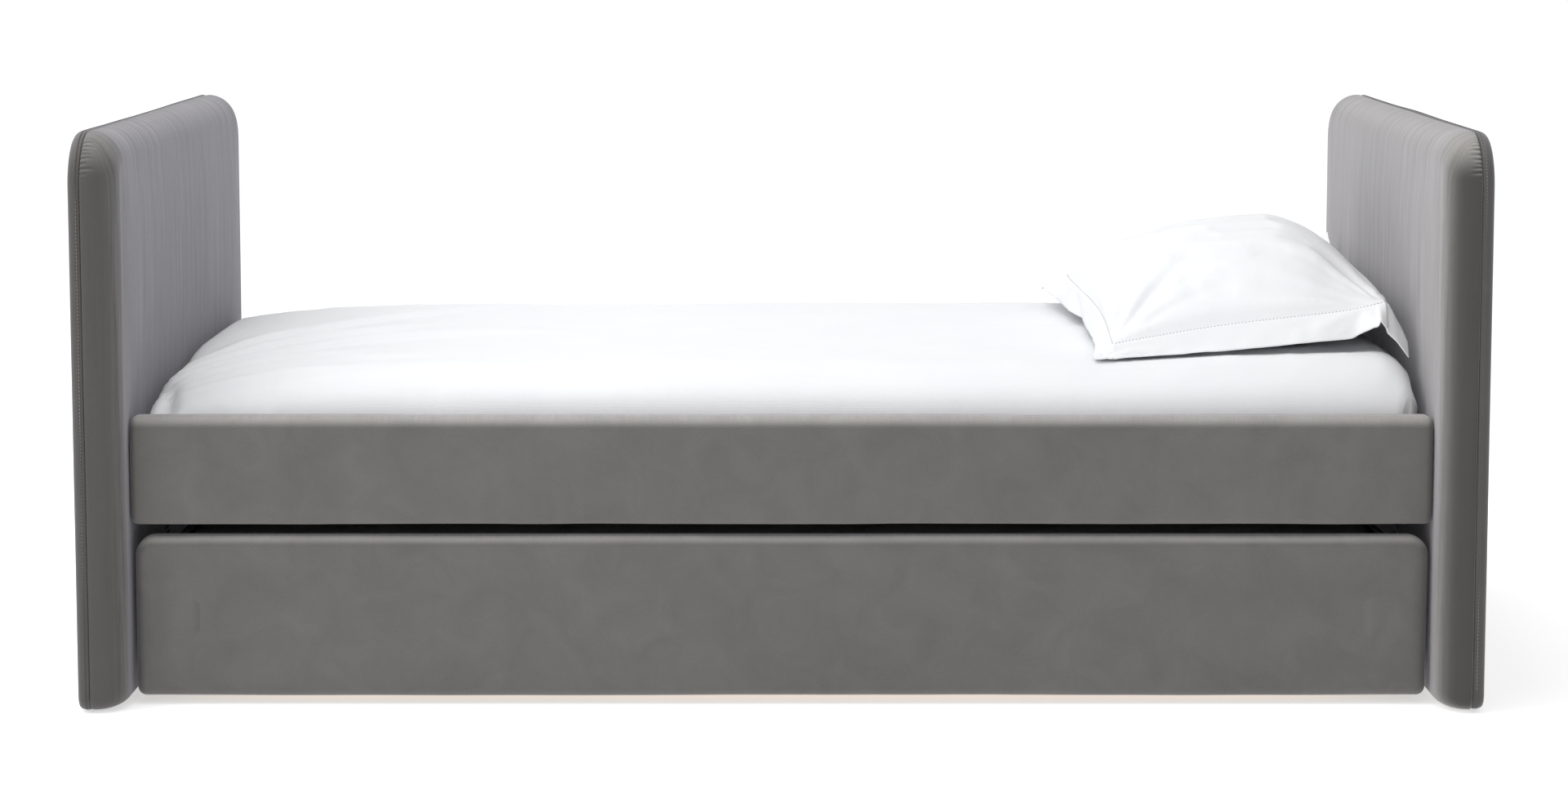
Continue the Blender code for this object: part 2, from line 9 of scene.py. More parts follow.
import bmesh
import bpy
import numpy as np
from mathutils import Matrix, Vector


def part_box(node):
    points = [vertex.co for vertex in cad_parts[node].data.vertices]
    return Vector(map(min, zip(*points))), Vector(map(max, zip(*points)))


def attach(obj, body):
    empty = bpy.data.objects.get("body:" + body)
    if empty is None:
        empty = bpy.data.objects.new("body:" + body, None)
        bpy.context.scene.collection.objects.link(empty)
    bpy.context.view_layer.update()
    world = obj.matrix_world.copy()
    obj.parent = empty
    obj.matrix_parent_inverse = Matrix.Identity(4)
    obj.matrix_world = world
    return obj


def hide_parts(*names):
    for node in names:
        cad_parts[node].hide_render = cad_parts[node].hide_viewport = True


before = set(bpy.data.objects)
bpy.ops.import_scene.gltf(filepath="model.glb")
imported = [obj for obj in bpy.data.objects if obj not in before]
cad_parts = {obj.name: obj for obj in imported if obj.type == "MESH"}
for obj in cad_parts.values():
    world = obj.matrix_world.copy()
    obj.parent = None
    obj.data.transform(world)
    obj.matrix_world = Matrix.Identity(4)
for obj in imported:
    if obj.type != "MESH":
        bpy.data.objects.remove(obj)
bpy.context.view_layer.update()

ENDS = {"left": -1, "right": 1}
CASTERS = [f"{depth}_{side}" for depth in ("front", "rear") for side in ENDS]

# ---- camera and light --------------------------------------------------------------------------
CAMERA_PLACE = (0.0165, -5.906, 1.166)
CAMERA_PITCH = 6.30  # degrees below the horizon
CAMERA_LENS = 84.07  # mm, on a sensor 36 mm wide
CAMERA_SHIFT = (-0.0054, -0.0521)
FLOOR_HALF = 400.0
FLOOR_GLOW = 0.52
SURROUND_LIGHT = 0.62
LIGHTS = (  # name, place, target, size and power
    ("overhead_softbox", (-0.7, 0.0, 3.5), (0, 0, 0.4), (4.2, 2.8), 54),
    ("left_softbox", (-3.6, -1.5, 3.6), (0.6, 0, 0.4), (2.6, 2.6), 62),
    ("front_fill", (-1.8, -5.5, 2.4), (0, 0, 0.3), (3.5, 2.0), 9),
)


# ---- numbers: noise and outlines ---------------------------------------------------------------
def noise(points, seed=0):
    """Smooth noise from -1 to 1 at each row of points, one lattice cell per unit."""
    points = np.asarray(points, float)
    base = np.floor(points).astype(np.int64)
    part = points - base
    ease = part * part * part * (part * (part * 6 - 15) + 10)
    total = np.zeros(len(points))
    for corner in range(8):
        step = np.array([corner & 1, corner >> 1 & 1, corner >> 2 & 1])
        cell = base + step
        mixed = cell[:, 0] * 374761393 + cell[:, 1] * 668265263 + cell[:, 2] * 951274213 + seed * 1274126177
        mixed = (mixed ^ (mixed >> 13)) * 1274126177 & 0xFFFFFFFF
        value = ((mixed ^ (mixed >> 16)) & 0xFFFF) / 32767.5 - 1
        total += value * np.prod(np.where(step, ease, 1 - ease), axis=1)
    return total


def layered_noise(points, sizes, seed=0):
    """Noise at several cell sizes in metres, each weighted by its size, scaled to about -1 to 1."""
    total = sum(size * noise(np.asarray(points) / size, seed + i) for i, size in enumerate(sizes))
    return total / max(sizes)


def smooth_step(value, start, end):
    share = np.clip((value - start) / (end - start), 0, 1)
    return share * share * (3 - 2 * share)


def arc_points(centre, radius, start, end, count):
    """count points along an arc, without its end, with their outward normals. Angles in degrees."""
    angles = np.radians(start + (end - start) * np.arange(count) / count)
    normals = np.column_stack([np.cos(angles), np.sin(angles)])
    return np.array(centre) + radius * normals, normals


def line_points(start, end, normal, count):
    """count points along a line, without its end, with their normals."""
    share = (np.arange(count) / count)[:, None]
    points = np.array(start) * (1 - share) + np.array(end) * share
    return points, np.tile(np.array(normal, float), (count, 1))


def rounded_ring(half, low, high, low_radius, high_radius, counts):
    """A rectangle with rounded corners in two coordinates, anticlockwise from the middle of its low side.
    counts says how many points the low side, a side, the high side, a low and a high corner get."""
    low_side, side, high_side, low_corner, high_corner = counts
    a, b = low_radius, high_radius
    stretches = [
        line_points((0, low), (half - a, low), (0, -1), low_side // 2),
        arc_points((half - a, low + a), a, -90, 0, low_corner),
        line_points((half, low + a), (half, high - b), (1, 0), side),
        arc_points((half - b, high - b), b, 0, 90, high_corner),
        line_points((half - b, high), (b - half, high), (0, 1), high_side),
        arc_points((b - half, high - b), b, 90, 180, high_corner),
        line_points((-half, high - b), (-half, low + a), (-1, 0), side),
        arc_points((a - half, low + a), a, 180, 270, low_corner),
        line_points((a - half, low), (0, low), (0, -1), low_side // 2),
    ]
    points = np.concatenate([stretch[0] for stretch in stretches])
    normals = np.concatenate([stretch[1] for stretch in stretches])
    return points, normals


def ring_length(points):
    """Distance along a closed ring from its first point to each point."""
    steps = np.linalg.norm(np.roll(points, -1, axis=0) - points, axis=1)
    return np.concatenate([[0], np.cumsum(steps)[:-1]])


# ---- meshes ------------------------------------------------------------------------------------
def mesh_object(name, points, faces, surface, cloth=None):
    """A smooth closed piece, faces outward. cloth holds each vertex's place on the flat cloth."""
    mesh = bpy.data.meshes.new(name)
    mesh.from_pydata(np.asarray(points, float).tolist(), [], faces)
    solid = bmesh.new()
    solid.from_mesh(mesh)
    if solid.calc_volume(signed=True) < 0:
        mesh.flip_normals()
    solid.free()
    if cloth is not None:
        corners = np.zeros(len(mesh.loops), np.int32)
        mesh.loops.foreach_get("vertex_index", corners)
        layer = mesh.uv_layers.new(name="cloth")
        layer.uv.foreach_set("vector", np.asarray(cloth, np.float32)[corners].ravel())
    mesh.shade_smooth()
    mesh.materials.append(surface)
    made = bpy.data.objects.new(name, mesh)
    bpy.context.scene.collection.objects.link(made)
    return made


def cap_faces(first, count):
    """Faces that close a ring whose lower and upper halves mirror each other, as a strip between them."""
    half = count // 2
    faces = []
    for i in range(count // 4):
        for corners in ((i, i + 1, half - i - 1, half - i), (-i - 1, -i, half + i, half + i + 1)):
            faces.append(tuple(dict.fromkeys(first + k % count for k in corners)))
    return faces


def ring_faces(rings, count):
    """Quads between closed rings of count points each, and a cap on the first and the last ring."""
    faces = []
    for ring in range(rings - 1):
        low, high = ring * count, (ring + 1) * count
        for i in range(count):
            j = (i + 1) % count
            faces.append((low + i, low + j, high + j, high + i))
    faces += [face[::-1] for face in cap_faces(0, count)]
    return faces + cap_faces((rings - 1) * count, count)


def finish_piece(piece, body, slot, *nodes):
    """Rides a piece on its body and hides the CAD nodes that it stands for. Its slot argument is not used."""
    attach(piece, body)
    if nodes:
        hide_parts(*nodes)


# ---- materials ---------------------------------------------------------------------------------
def node(tree, kind, inputs=None, **settings):
    """Adds a shader node. Inputs are numbers, colours or other nodes' outputs."""
    made = tree.nodes.new(kind)
    for key, value in settings.items():
        setattr(made, key, value)
    for key, value in (inputs or {}).items():
        if isinstance(value, bpy.types.NodeSocket):
            tree.links.new(value, made.inputs[key])
        else:
            made.inputs[key].default_value = value
    return made


def new_material(name, **values):
    """A Principled material with plain values on its sockets. Returns it, its tree and its shader."""
    made = bpy.data.materials.new(name)
    made.use_nodes = True
    shader = made.node_tree.nodes["Principled BSDF"]
    for key, value in values.items():
        shader.inputs[key.replace("_", " ")].default_value = value
    return made, made.node_tree, shader


def place_on_cloth(tree):
    """The point's place on the flat cloth, in metres."""
    return node(tree, "ShaderNodeUVMap", uv_map="cloth").outputs["UV"]


def place_in_object(tree):
    return node(tree, "ShaderNodeTexCoord").outputs["Object"]


def stretched(tree, place, scale):
    return node(tree, "ShaderNodeMapping", {"Vector": place, "Scale": scale}).outputs["Vector"]


def noise_at(tree, place, scale, detail=2.0, roughness=0.5, distortion=0.0):
    inputs = {
        "Vector": place,
        "Scale": scale,
        "Detail": detail,
        "Roughness": roughness,
        "Distortion": distortion,
    }
    return node(tree, "ShaderNodeTexNoise", inputs).outputs["Fac"]


def weigh(tree, value, weight):
    """(value - 0.5) times weight."""
    centred = node(tree, "ShaderNodeMath", {0: value, 1: 0.5}, operation="SUBTRACT").outputs[0]
    return node(tree, "ShaderNodeMath", {0: centred, 1: weight}, operation="MULTIPLY").outputs[0]


def add(tree, *values):
    total = values[0]
    for value in values[1:]:
        total = node(tree, "ShaderNodeMath", {0: total, 1: value}, operation="ADD").outputs[0]
    return total


def between(tree, share, dark, light):
    """A colour between dark and light."""
    ramp = node(tree, "ShaderNodeValToRGB", {"Fac": share})
    ramp.color_ramp.elements[0].color = (*dark, 1)
    ramp.color_ramp.elements[1].color = (*light, 1)
    return ramp.outputs["Color"]


def shade(colour, factor):
    return tuple(channel * factor for channel in colour)


def bump(tree, shader, height, distance, strength):
    made = node(tree, "ShaderNodeBump", {"Height": height, "Distance": distance, "Strength": strength})
    tree.links.new(made.outputs["Normal"], shader.inputs["Normal"])


def paint(tree, shader, share, dark, light):
    tree.links.new(between(tree, share, dark, light), shader.inputs["Base Color"])


def weave_at(tree, place, scale):
    """A weave's waves along X and along Y."""
    inputs = {"Vector": place, "Scale": scale}
    return [node(tree, "ShaderNodeTexWave", inputs, bands_direction=axis).outputs["Fac"] for axis in "XY"]


VELVET = (0.125, 0.121, 0.115)  # the pile's colour


def facing(tree):
    """How far the cloth faces to the front or the back, and how far it faces up."""
    normal = node(tree, "ShaderNodeNewGeometry").outputs["Normal"]
    parts = node(tree, "ShaderNodeSeparateXYZ", {0: normal}).outputs
    return node(tree, "ShaderNodeMath", {0: parts["Y"]}, operation="ABSOLUTE").outputs[0], parts["Z"]


def eased(tree, value, start, end, low, high):
    """Goes smoothly from low to high while value goes from start to end."""
    inputs = {"Value": value, "From Min": start, "From Max": end, "To Min": low, "To Max": high}
    return node(tree, "ShaderNodeMapRange", inputs, interpolation_type="SMOOTHSTEP").outputs[0]


def nap_and_light_tone(tree, tones):
    """How light the pile looks by the way that the cloth faces. The panels' narrow edges are brushed another
    way than the broad faces; the lighter level tops are a painted highlight of the overhead light and sheen,
    and the broad tone paints each material's broad faces lighter or darker for the light that falls there."""
    broad, edge, top = tones
    sideways, upward = facing(tree)
    return eased(tree, upward, 0.15, 0.95, eased(tree, sideways, 0.10, 0.95, broad, edge), top)


def broad_face(tree):
    """1 where the cloth faces along the bed, and much less where it faces to the front or the back."""
    return eased(tree, facing(tree)[0], 0.35, 0.85, 1.0, 0.12)


def velvet(name, streaks, clouds, tones):
    """Short-pile velvet: a fine grain, nap streaks that run down the cloth, and brushed patches."""
    made, tree, shader = new_material(
        name,
        Roughness=0.85,
        Specular_IOR_Level=0.15,
        Sheen_Weight=0.40,
        Sheen_Roughness=0.42,
        Sheen_Tint=(0.88, 0.87, 1.0, 1.0),
    )
    place = place_on_cloth(tree)
    grain = noise_at(tree, place, 900, 3, 0.6)
    fine_streak = noise_at(tree, stretched(tree, place, (170, 4, 1)), 1.0, 4, 0.75, 0.3)
    broad_streak = noise_at(tree, stretched(tree, place, (42, 2.2, 1)), 1.0, 2, 0.5, 0.5)
    patch = noise_at(tree, place, 14, 4, 0.62, 0.8)
    broad_patch = noise_at(tree, place, 3.5, 2, 0.5, 0.3)
    run = add(tree, weigh(tree, fine_streak, 2.4 * streaks), weigh(tree, broad_streak, 0.8 * streaks))
    inputs = {0: run, 1: broad_face(tree)}
    share = add(
        tree,
        0.5,
        weigh(tree, grain, 1.6),
        node(tree, "ShaderNodeMath", inputs, operation="MULTIPLY").outputs[0],
        weigh(tree, patch, 0.75 * clouds),
        weigh(tree, broad_patch, 0.35 * clouds),
    )
    colour = between(tree, share, shade(VELVET, 0.62), shade(VELVET, 1.38))
    # The facing tone scales the colour: partly the nap, partly painted light, with painted highlights on the
    # level tops and lit and shaded tones on the broad faces.
    inputs = {0: colour, "Scale": nap_and_light_tone(tree, tones)}
    toned = node(tree, "ShaderNodeVectorMath", inputs, operation="SCALE")
    tree.links.new(toned.outputs["Vector"], shader.inputs["Base Color"])
    height = add(tree, weigh(tree, grain, 0.5), weigh(tree, broad_streak, 1.2 * streaks))
    bump(tree, shader, height, 0.0006, 0.8)
    return made


def cotton():
    """Smooth white percale: a fine plain weave and a faint unevenness."""
    made, tree, shader = new_material(
        "white_percale", Roughness=0.82, Specular_IOR_Level=0.2, Sheen_Weight=0.15, Sheen_Roughness=0.5
    )
    place = place_in_object(tree)
    cloud = noise_at(tree, place, 9, 3, 0.55)
    paint(tree, shader, cloud, (0.875, 0.885, 0.91), (0.925, 0.93, 0.945))
    weave = weave_at(tree, place, 480.0)
    crumple = noise_at(tree, place, 60, 4, 0.6, 0.6)
    height = add(tree, weigh(tree, weave[0], 0.16), weigh(tree, weave[1], 0.16), weigh(tree, crumple, 1.1))
    bump(tree, shader, height, 0.0007, 0.55)
    return made


def ticking():
    """Off-white knitted mattress ticking with a small diamond quilting pattern."""
    made, tree, shader = new_material("knitted_ticking", Roughness=0.85, Sheen_Weight=0.2)
    place = place_in_object(tree)
    cloud = noise_at(tree, place, 20, 3)
    paint(tree, shader, cloud, (0.70, 0.70, 0.67), (0.80, 0.79, 0.77))
    turned = node(tree, "ShaderNodeMapping", {"Vector": place, "Rotation": (0, 0, math.radians(45))})
    diamonds = weave_at(tree, turned.outputs[0], 18.0)
    knit = noise_at(tree, place, 700, 2)
    height = add(tree, weigh(tree, diamonds[0], 0.6), weigh(tree, diamonds[1], 0.6))
    bump(tree, shader, add(tree, height, weigh(tree, knit, 0.2)), 0.0015, 0.6)
    return made


def charcoal():
    """The trundle mattress's dark woven cover."""
    made, tree, shader = new_material(
        "charcoal_weave", Roughness=0.8, Specular_IOR_Level=0.3, Sheen_Weight=0.35, Sheen_Roughness=0.4
    )
    place = place_in_object(tree)
    weave = weave_at(tree, place, 260.0)
    cloud = noise_at(tree, place, 12, 4, 0.6)
    share = add(tree, cloud, weigh(tree, weave[0], 0.25), weigh(tree, weave[1], 0.25))
    paint(tree, shader, share, (0.016, 0.016, 0.017), (0.045, 0.045, 0.047))
    height = add(tree, weigh(tree, weave[0], 0.3), weigh(tree, weave[1], 0.3), weigh(tree, cloud, 0.8))
    bump(tree, shader, height, 0.0008, 0.7)
    return made


def timber(name, along, pale, dark):
    """Sanded wood with grain along one axis (0 to 2)."""
    made, tree, shader = new_material(name, Roughness=0.62, Specular_IOR_Level=0.35)
    place = place_in_object(tree)
    scale = [60.0, 60.0, 60.0]
    scale[along] = 2.5
    grain = noise_at(tree, stretched(tree, place, scale), 1.0, 5, 0.6, 1.2)
    scale[along] = 12.0
    pores = noise_at(tree, stretched(tree, place, [s * 6 for s in scale]), 1.0, 2, 0.5)
    share = add(tree, grain, weigh(tree, pores, 0.35))
    paint(tree, shader, share, dark, pale)
    bump(tree, shader, add(tree, grain, weigh(tree, pores, 0.6)), 0.0004, 0.5)
    return made


def laminate():
    """Matt black board with a faint embossed grain and worn, lighter specks."""
    made, tree, shader = new_material("black_laminate", Roughness=0.55, Specular_IOR_Level=0.4)
    place = place_in_object(tree)
    grain = noise_at(tree, stretched(tree, place, (6, 60, 120)), 1.0, 4, 0.6, 0.5)
    specks = noise_at(tree, place, 180, 3, 0.7)
    share = add(tree, grain, weigh(tree, specks, 0.5))
    paint(tree, shader, share, (0.020, 0.020, 0.019), (0.052, 0.050, 0.048))
    tree.links.new(add(tree, 0.5, weigh(tree, grain, 0.2)), shader.inputs["Roughness"])
    bump(tree, shader, grain, 0.0003, 0.5)
    return made


def zinc():
    """Dull zinc plating with a faint spangle and scuffs."""
    made, tree, shader = new_material("zinc_plate", Metallic=1.0)
    place = place_in_object(tree)
    spangle = noise_at(tree, place, 220, 3, 0.6, 0.6)
    scuff = noise_at(tree, stretched(tree, place, (40, 300, 60)), 1.0, 3, 0.6)
    paint(tree, shader, spangle, (0.50, 0.51, 0.52), (0.70, 0.70, 0.69))
    tree.links.new(add(tree, 0.36, weigh(tree, scuff, 0.25)), shader.inputs["Roughness"])
    bump(tree, shader, add(tree, scuff, spangle), 0.0001, 0.4)
    return made


def rubber():
    """Grey tyre rubber, dusty where it rolls."""
    made, tree, shader = new_material("tyre_rubber", Specular_IOR_Level=0.35)
    place = place_in_object(tree)
    dust = noise_at(tree, place, 90, 4, 0.6)
    paint(tree, shader, dust, (0.045, 0.045, 0.045), (0.13, 0.125, 0.12))
    tree.links.new(add(tree, 0.68, weigh(tree, dust, 0.3)), shader.inputs["Roughness"])
    bump(tree, shader, noise_at(tree, place, 1500, 2), 0.0002, 0.4)
    return made


def nylon():
    made, tree, shader = new_material("black_nylon", Roughness=0.5)
    place = place_in_object(tree)
    spark = noise_at(tree, place, 1400, 2)
    paint(tree, shader, spark, (0.022, 0.022, 0.022), (0.038, 0.038, 0.038))
    bump(tree, shader, spark, 0.0001, 0.5)
    return made


def thread(name, dark, light):
    """Polyester sewing thread with its twist."""
    made, tree, shader = new_material(name, Roughness=0.55, Sheen_Weight=0.3)
    place = place_in_object(tree)
    twist = node(tree, "ShaderNodeTexWave", {"Vector": place, "Scale": 900.0}, bands_direction="DIAGONAL")
    paint(tree, shader, twist.outputs["Fac"], dark, light)
    return made


# ---- end panels --------------------------------------------------------------------------------
PANEL_DEPTH = (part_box("left_end_inner_cover")[1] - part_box("left_end_inner_cover")[0]).y
PANEL_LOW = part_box("left_end_inner_cover")[0].z
PANEL_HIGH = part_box("left_end_inner_cover")[1].z
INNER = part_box("right_end_inner_cover")[0].x
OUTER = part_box("right_end_outer_cover")[1].x
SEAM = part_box("right_end_outer_cover")[0].x
TOP_CORNER = 0.080
LOW_CORNER = 0.018
NOSE = 0.046  # radius of the padded roll between an end panel's edge and its inner face
OUTER_ROUND = 0.014
SEAM_DIP = 0.0024  # how deep the covers turn in at the seam
STITCH_PITCH = 0.0053
STITCH_LENGTH = 0.0037
STITCH_FROM_SEAM = 0.0058
RING_COUNTS = (136, 96, 136, 80, 80)


def panel_outline(inset):
    """An end panel's outline pulled in by inset: places and normals in Y and Z."""
    return rounded_ring(
        PANEL_DEPTH / 2 - inset,
        PANEL_LOW + inset * 0.35,
        PANEL_HIGH - inset,
        LOW_CORNER,
        max(TOP_CORNER - inset, 0.030),
        RING_COUNTS,
    )


def corner_share(points):
    """1 in the middle of an upper corner's arc, falling to 0 at its ends and along the straight edges."""
    centre_y, centre_z = PANEL_DEPTH / 2 - TOP_CORNER, PANEL_HIGH - TOP_CORNER
    angle = np.degrees(np.arctan2(points[:, 1] - centre_z, np.abs(points[:, 0]) - centre_y))
    return smooth_step(angle, -6, 14) * (1 - smooth_step(angle, 74, 100))


def pleats(points, along, from_seam, seed):
    """Depth of the small gathers beside the seam at the upper corners."""
    from_seam = np.full(len(along), from_seam)
    wander = 0.0022 * noise(np.column_stack([along / 0.021, from_seam / 0.02, 0 * along]), seed)
    folds = np.abs(np.sin(math.pi * (along + wander) / 0.0078))
    strength = 0.65 + 0.35 * noise(np.column_stack([along / 0.012, 0 * along, 0 * along]), seed + 5)
    reach = 0.022 + 0.010 * noise(np.column_stack([along / 0.009, 0 * along, 0 * along]), seed + 9)
    fade = (1 - smooth_step(from_seam / reach, 0.15, 1.0)) * smooth_step(from_seam, -0.001, 0.003)
    return 0.0021 * (1 - folds) ** 1.4 * strength * fade * corner_share(points)


def with_run(rows):
    """A profile's rows, and how far along it each of them is."""
    rows = np.array(rows)
    return rows, np.concatenate([[0], np.cumsum(np.linalg.norm(np.diff(rows, axis=0), axis=1))])


def cover_profile(side_rows, face_rows):
    """The padded inner cover's profile from the seam to the middle of the face: how far in from the outline,
    how far from the panel's middle plane, and the distance along the cloth."""
    rows = [(SEAM_DIP + 0.0030, SEAM + 0.0002), (SEAM_DIP, SEAM - 0.0003), (SEAM_DIP * 0.42, SEAM - 0.0012)]
    rows += [(SEAM_DIP * 0.10, SEAM - 0.0027)]
    turn = np.linspace(0.0, math.pi / 2, side_rows)
    start = INNER + NOSE
    rows += [(NOSE * (1 - math.cos(a)), start - NOSE * math.sin(a)) for a in turn]
    insets = np.geomspace(0.012, PANEL_HIGH / 2 - 0.012 - NOSE, face_rows) + NOSE
    return with_run(rows + [(d, INNER) for d in insets])


def build_cover(name, side, profile, surface, seed, gathers, swell):
    """Lofts a cover from its profile, whose distances along the cloth are measured from the seam."""
    base, base_normals = panel_outline(0.0)
    along = ring_length(base)
    points, unrolled = [], []
    for (inset, x), run in zip(*profile):
        ring, normals = panel_outline(inset)
        place = np.column_stack([base, np.full(len(base), run)])
        push = 0.0007 * layered_noise(place, (0.30, 0.12), seed)
        push -= pleats(base, along, run, seed) if gathers else 0
        push *= 1 - smooth_step(inset, 0.03, 0.06)
        ring = ring + base_normals * push[:, None]
        lift = np.full(len(ring), x)
        if swell:
            lift = lift - swell * smooth_step(inset, 0.02, 0.14) * smooth_step(ring[:, 1], 0.42, 0.60)
        points.append(np.column_stack([side * lift, ring]))
        tucked = max(0.0, NOSE - 0.004 - min(run, NOSE * 1.7)) * (inset < NOSE)
        unrolled.append(ring + normals * tucked)
    faces = ring_faces(len(points), len(base))
    return mesh_object(name, np.concatenate(points), faces, surface, np.concatenate(unrolled))


def outer_profile():
    """The outer cover's profile from the seam over the rounded edge to the middle of the outer face."""
    rows = [(SEAM_DIP + 0.0030, SEAM + 0.0003), (SEAM_DIP, SEAM + 0.0006), (SEAM_DIP * 0.40, SEAM + 0.0014)]
    rows += [(0.0003, SEAM + 0.0030), (0.0006, SEAM + STITCH_FROM_SEAM)]
    for turn in np.linspace(0.0, math.pi / 2, 9):
        rows.append((OUTER_ROUND * (1 - math.cos(turn)), OUTER - OUTER_ROUND * (1 - math.sin(turn))))
    return with_run(rows + [(d, OUTER) for d in np.linspace(0.03, PANEL_HIGH / 2 - 0.014, 12)])


def stitch_row(name, path, normals, surface, thickness=0.00042):
    """Short stitches along a path of points: each one a tapered thread that dips into the cloth."""
    _, run = with_run(path)
    sides, sections = 6, 5

    def at(values, place):
        return np.array([np.interp(place, run, values[:, c]) for c in range(3)])

    points, faces = [], []
    for start in np.arange(0.004, run[-1] - STITCH_PITCH, STITCH_PITCH):
        base = len(points)
        for k in range(sections):
            share = k / (sections - 1)
            place = start + STITCH_LENGTH * share
            centre = at(path, place)
            ahead = at(path, place + 0.001) - centre
            up = at(normals, place)
            across = np.cross(ahead, up)
            across /= max(np.linalg.norm(across), 1e-9)
            arch = math.sin(math.pi * share)
            centre = centre + up * (thickness * 1.5 * arch - thickness * 0.9)
            radius = thickness * (0.45 + 0.55 * arch)
            for i in range(sides):
                angle = 2 * math.pi * i / sides
                points.append(centre + radius * (math.cos(angle) * across + math.sin(angle) * up))
        for k in range(sections - 1):
            for i in range(sides):
                j = (i + 1) % sides
                low, high = base + k * sides, base + (k + 1) * sides
                faces.append((low + i, high + i, high + j, low + j))
        faces.append(tuple(base + i for i in range(sides)))
        faces.append(tuple(base + (sections - 1) * sides + i for i in range(sides))[::-1])
    return mesh_object(name, points, faces, surface)


def end_panel(name, side, surfaces):
    seed, velvet_in, velvet_out = 10 + side, surfaces[f"velvet_{name}_end"], surfaces["velvet_back"]
    inner = build_cover(f"{name}_end_padding", side, cover_profile(24, 26), velvet_in, seed, True, 0.004)
    finish_piece(inner, "bed", "grey_velvet", f"{name}_end_inner_cover")
    outer = build_cover(f"{name}_end_back", side, outer_profile(), velvet_out, seed + 40, False, 0)
    finish_piece(outer, "bed", "grey_velvet", f"{name}_end_outer_cover")
    ring, normals = panel_outline(0.0006)
    low_side = RING_COUNTS[0] // 2 + RING_COUNTS[3]
    keep = slice(low_side, len(ring) - low_side)
    x = np.full(len(ring), side * (SEAM + STITCH_FROM_SEAM))
    path = np.column_stack([x, ring])[keep]
    up = np.column_stack([0 * x, normals])[keep]
    stitches = stitch_row(f"{name}_end_topstitching", path, up, surfaces["thread"])
    finish_piece(stitches, "bed", "grey_velvet")


# ---- rails and the trundle's front -------------------------------------------------------------
def soft_bar(name, length, section, end_round, surface, seed, bulge, plump):
    """A padded bar along X. section(inset) gives its closed cross-section in Y and Z with normals."""
    half = length / 2
    turn = np.linspace(0, math.pi / 2, 9)
    ends = half - end_round * (1 - np.sin(turn))
    insets = end_round * (1 - np.cos(turn))
    middle = np.linspace(-half + end_round, half - end_round, int(length / 0.011))
    stations = [(-x, d) for x, d in zip(ends[::-1], insets[::-1])] + [(x, 0.0) for x in middle[1:-1]]
    stations += [(x, d) for x, d in zip(ends, insets)]
    points, cloth = [], []
    run = ring_length(section(0.0)[0])
    for x, inset in stations:
        ring, normals = section(inset)
        column = np.column_stack([np.full(len(ring), x), ring])
        push = plump * layered_noise(column, (0.22, 0.09, 0.035), seed) + bulge(ring, normals)
        ring = ring + normals * push[:, None]
        points.append(np.column_stack([np.full(len(ring), x), ring]))
        cloth.append(np.column_stack([np.full(len(ring), x), run]))
    faces = ring_faces(len(stations), len(points[0]))
    return mesh_object(name, np.concatenate(points), faces, surface, np.concatenate(cloth))


def rail_section(node_name):
    """Cross-section of a rail, rounder at its top outer edge."""
    low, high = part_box(node_name)
    middle, half = (low.y + high.y) / 2, (high.y - low.y) / 2

    def section(inset):
        ring, normals = rounded_ring(
            half - inset,
            low.z + inset,
            high.z - inset,
            max(0.010 - inset, 0.003),
            max(0.019 - inset, 0.004),
            (14, 22, 14, 10, 10),
        )
        return ring + [middle, 0], normals

    return section, low, high


def rail(name, surfaces):
    node_name = f"{name}_rail_cover"
    section, low, high = rail_section(node_name)
    middle_z = (low.z + high.z) / 2

    def bulge(ring, normals):
        return 0.0022 * np.abs(normals[:, 0]) * np.cos((ring[:, 1] - middle_z) / (high.z - low.z) * math.pi)

    length = high.x - low.x - 0.003
    surface = surfaces["velvet_front"]
    bar = soft_bar(f"{name}_rail_padding", length, section, 0.011, surface, 31, bulge, 0.0008)
    finish_piece(bar, "bed", "grey_velvet", node_name)


def trundle_front(surfaces):
    """The trundle's padded front, lofted from its back to the middle of its face."""
    low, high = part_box("trundle_front_cover")
    half = high.x
    roll = 0.015
    rows = [(0.007, high.y), (0.0, high.y - 0.001)]
    rows += [(0.0, y) for y in np.linspace(high.y - 0.004, low.y + roll + 0.002, 4)]
    turn = np.linspace(0, math.pi / 2, 12)
    rows += [(roll * (1 - math.cos(a)), low.y + roll * (1 - math.sin(a))) for a in turn]
    depth = (high.z - low.z) / 2
    rows += [(d, low.y) for d in np.geomspace(0.004, depth - roll - 0.024, 14) + roll]
    counts = (300, 20, 300, 18, 18)
    points, cloth = [], []
    for inset, y in rows:
        ring, normals = rounded_ring(
            half - inset,
            low.z + inset,
            high.z - inset,
            max(0.014 - inset, 0.003),
            max(0.030 - inset, 0.003),
            counts,
        )
        place = np.column_stack([ring, np.full(len(ring), y)])
        soft = smooth_step(high.y - y, 0.004, 0.02)
        wave = 0.0009 * soft * layered_noise(place, (0.24, 0.10, 0.035), 57)
        in_face = smooth_step(inset, roll * 0.4, roll * 1.6)
        centre = np.cos((ring[:, 1] - (low.z + high.z) / 2) / (high.z - low.z) * math.pi)
        push = -(wave + 0.0020 * np.clip(centre, 0, 1)) * in_face
        ring = ring + normals * (wave * (1 - in_face))[:, None]
        points.append(np.column_stack([ring[:, 0], y + push, ring[:, 1]]))
        cloth.append(ring + normals * max(0.0, (roll - inset)) * (y > low.y + 1e-6))
    faces = ring_faces(len(rows), len(points[0]))
    front = mesh_object(
        "trundle_front_padding",
        np.concatenate(points),
        faces,
        surfaces["velvet_front"],
        np.concatenate(cloth),
    )
    finish_piece(front, "trundle", "grey_velvet", "trundle_front_cover")


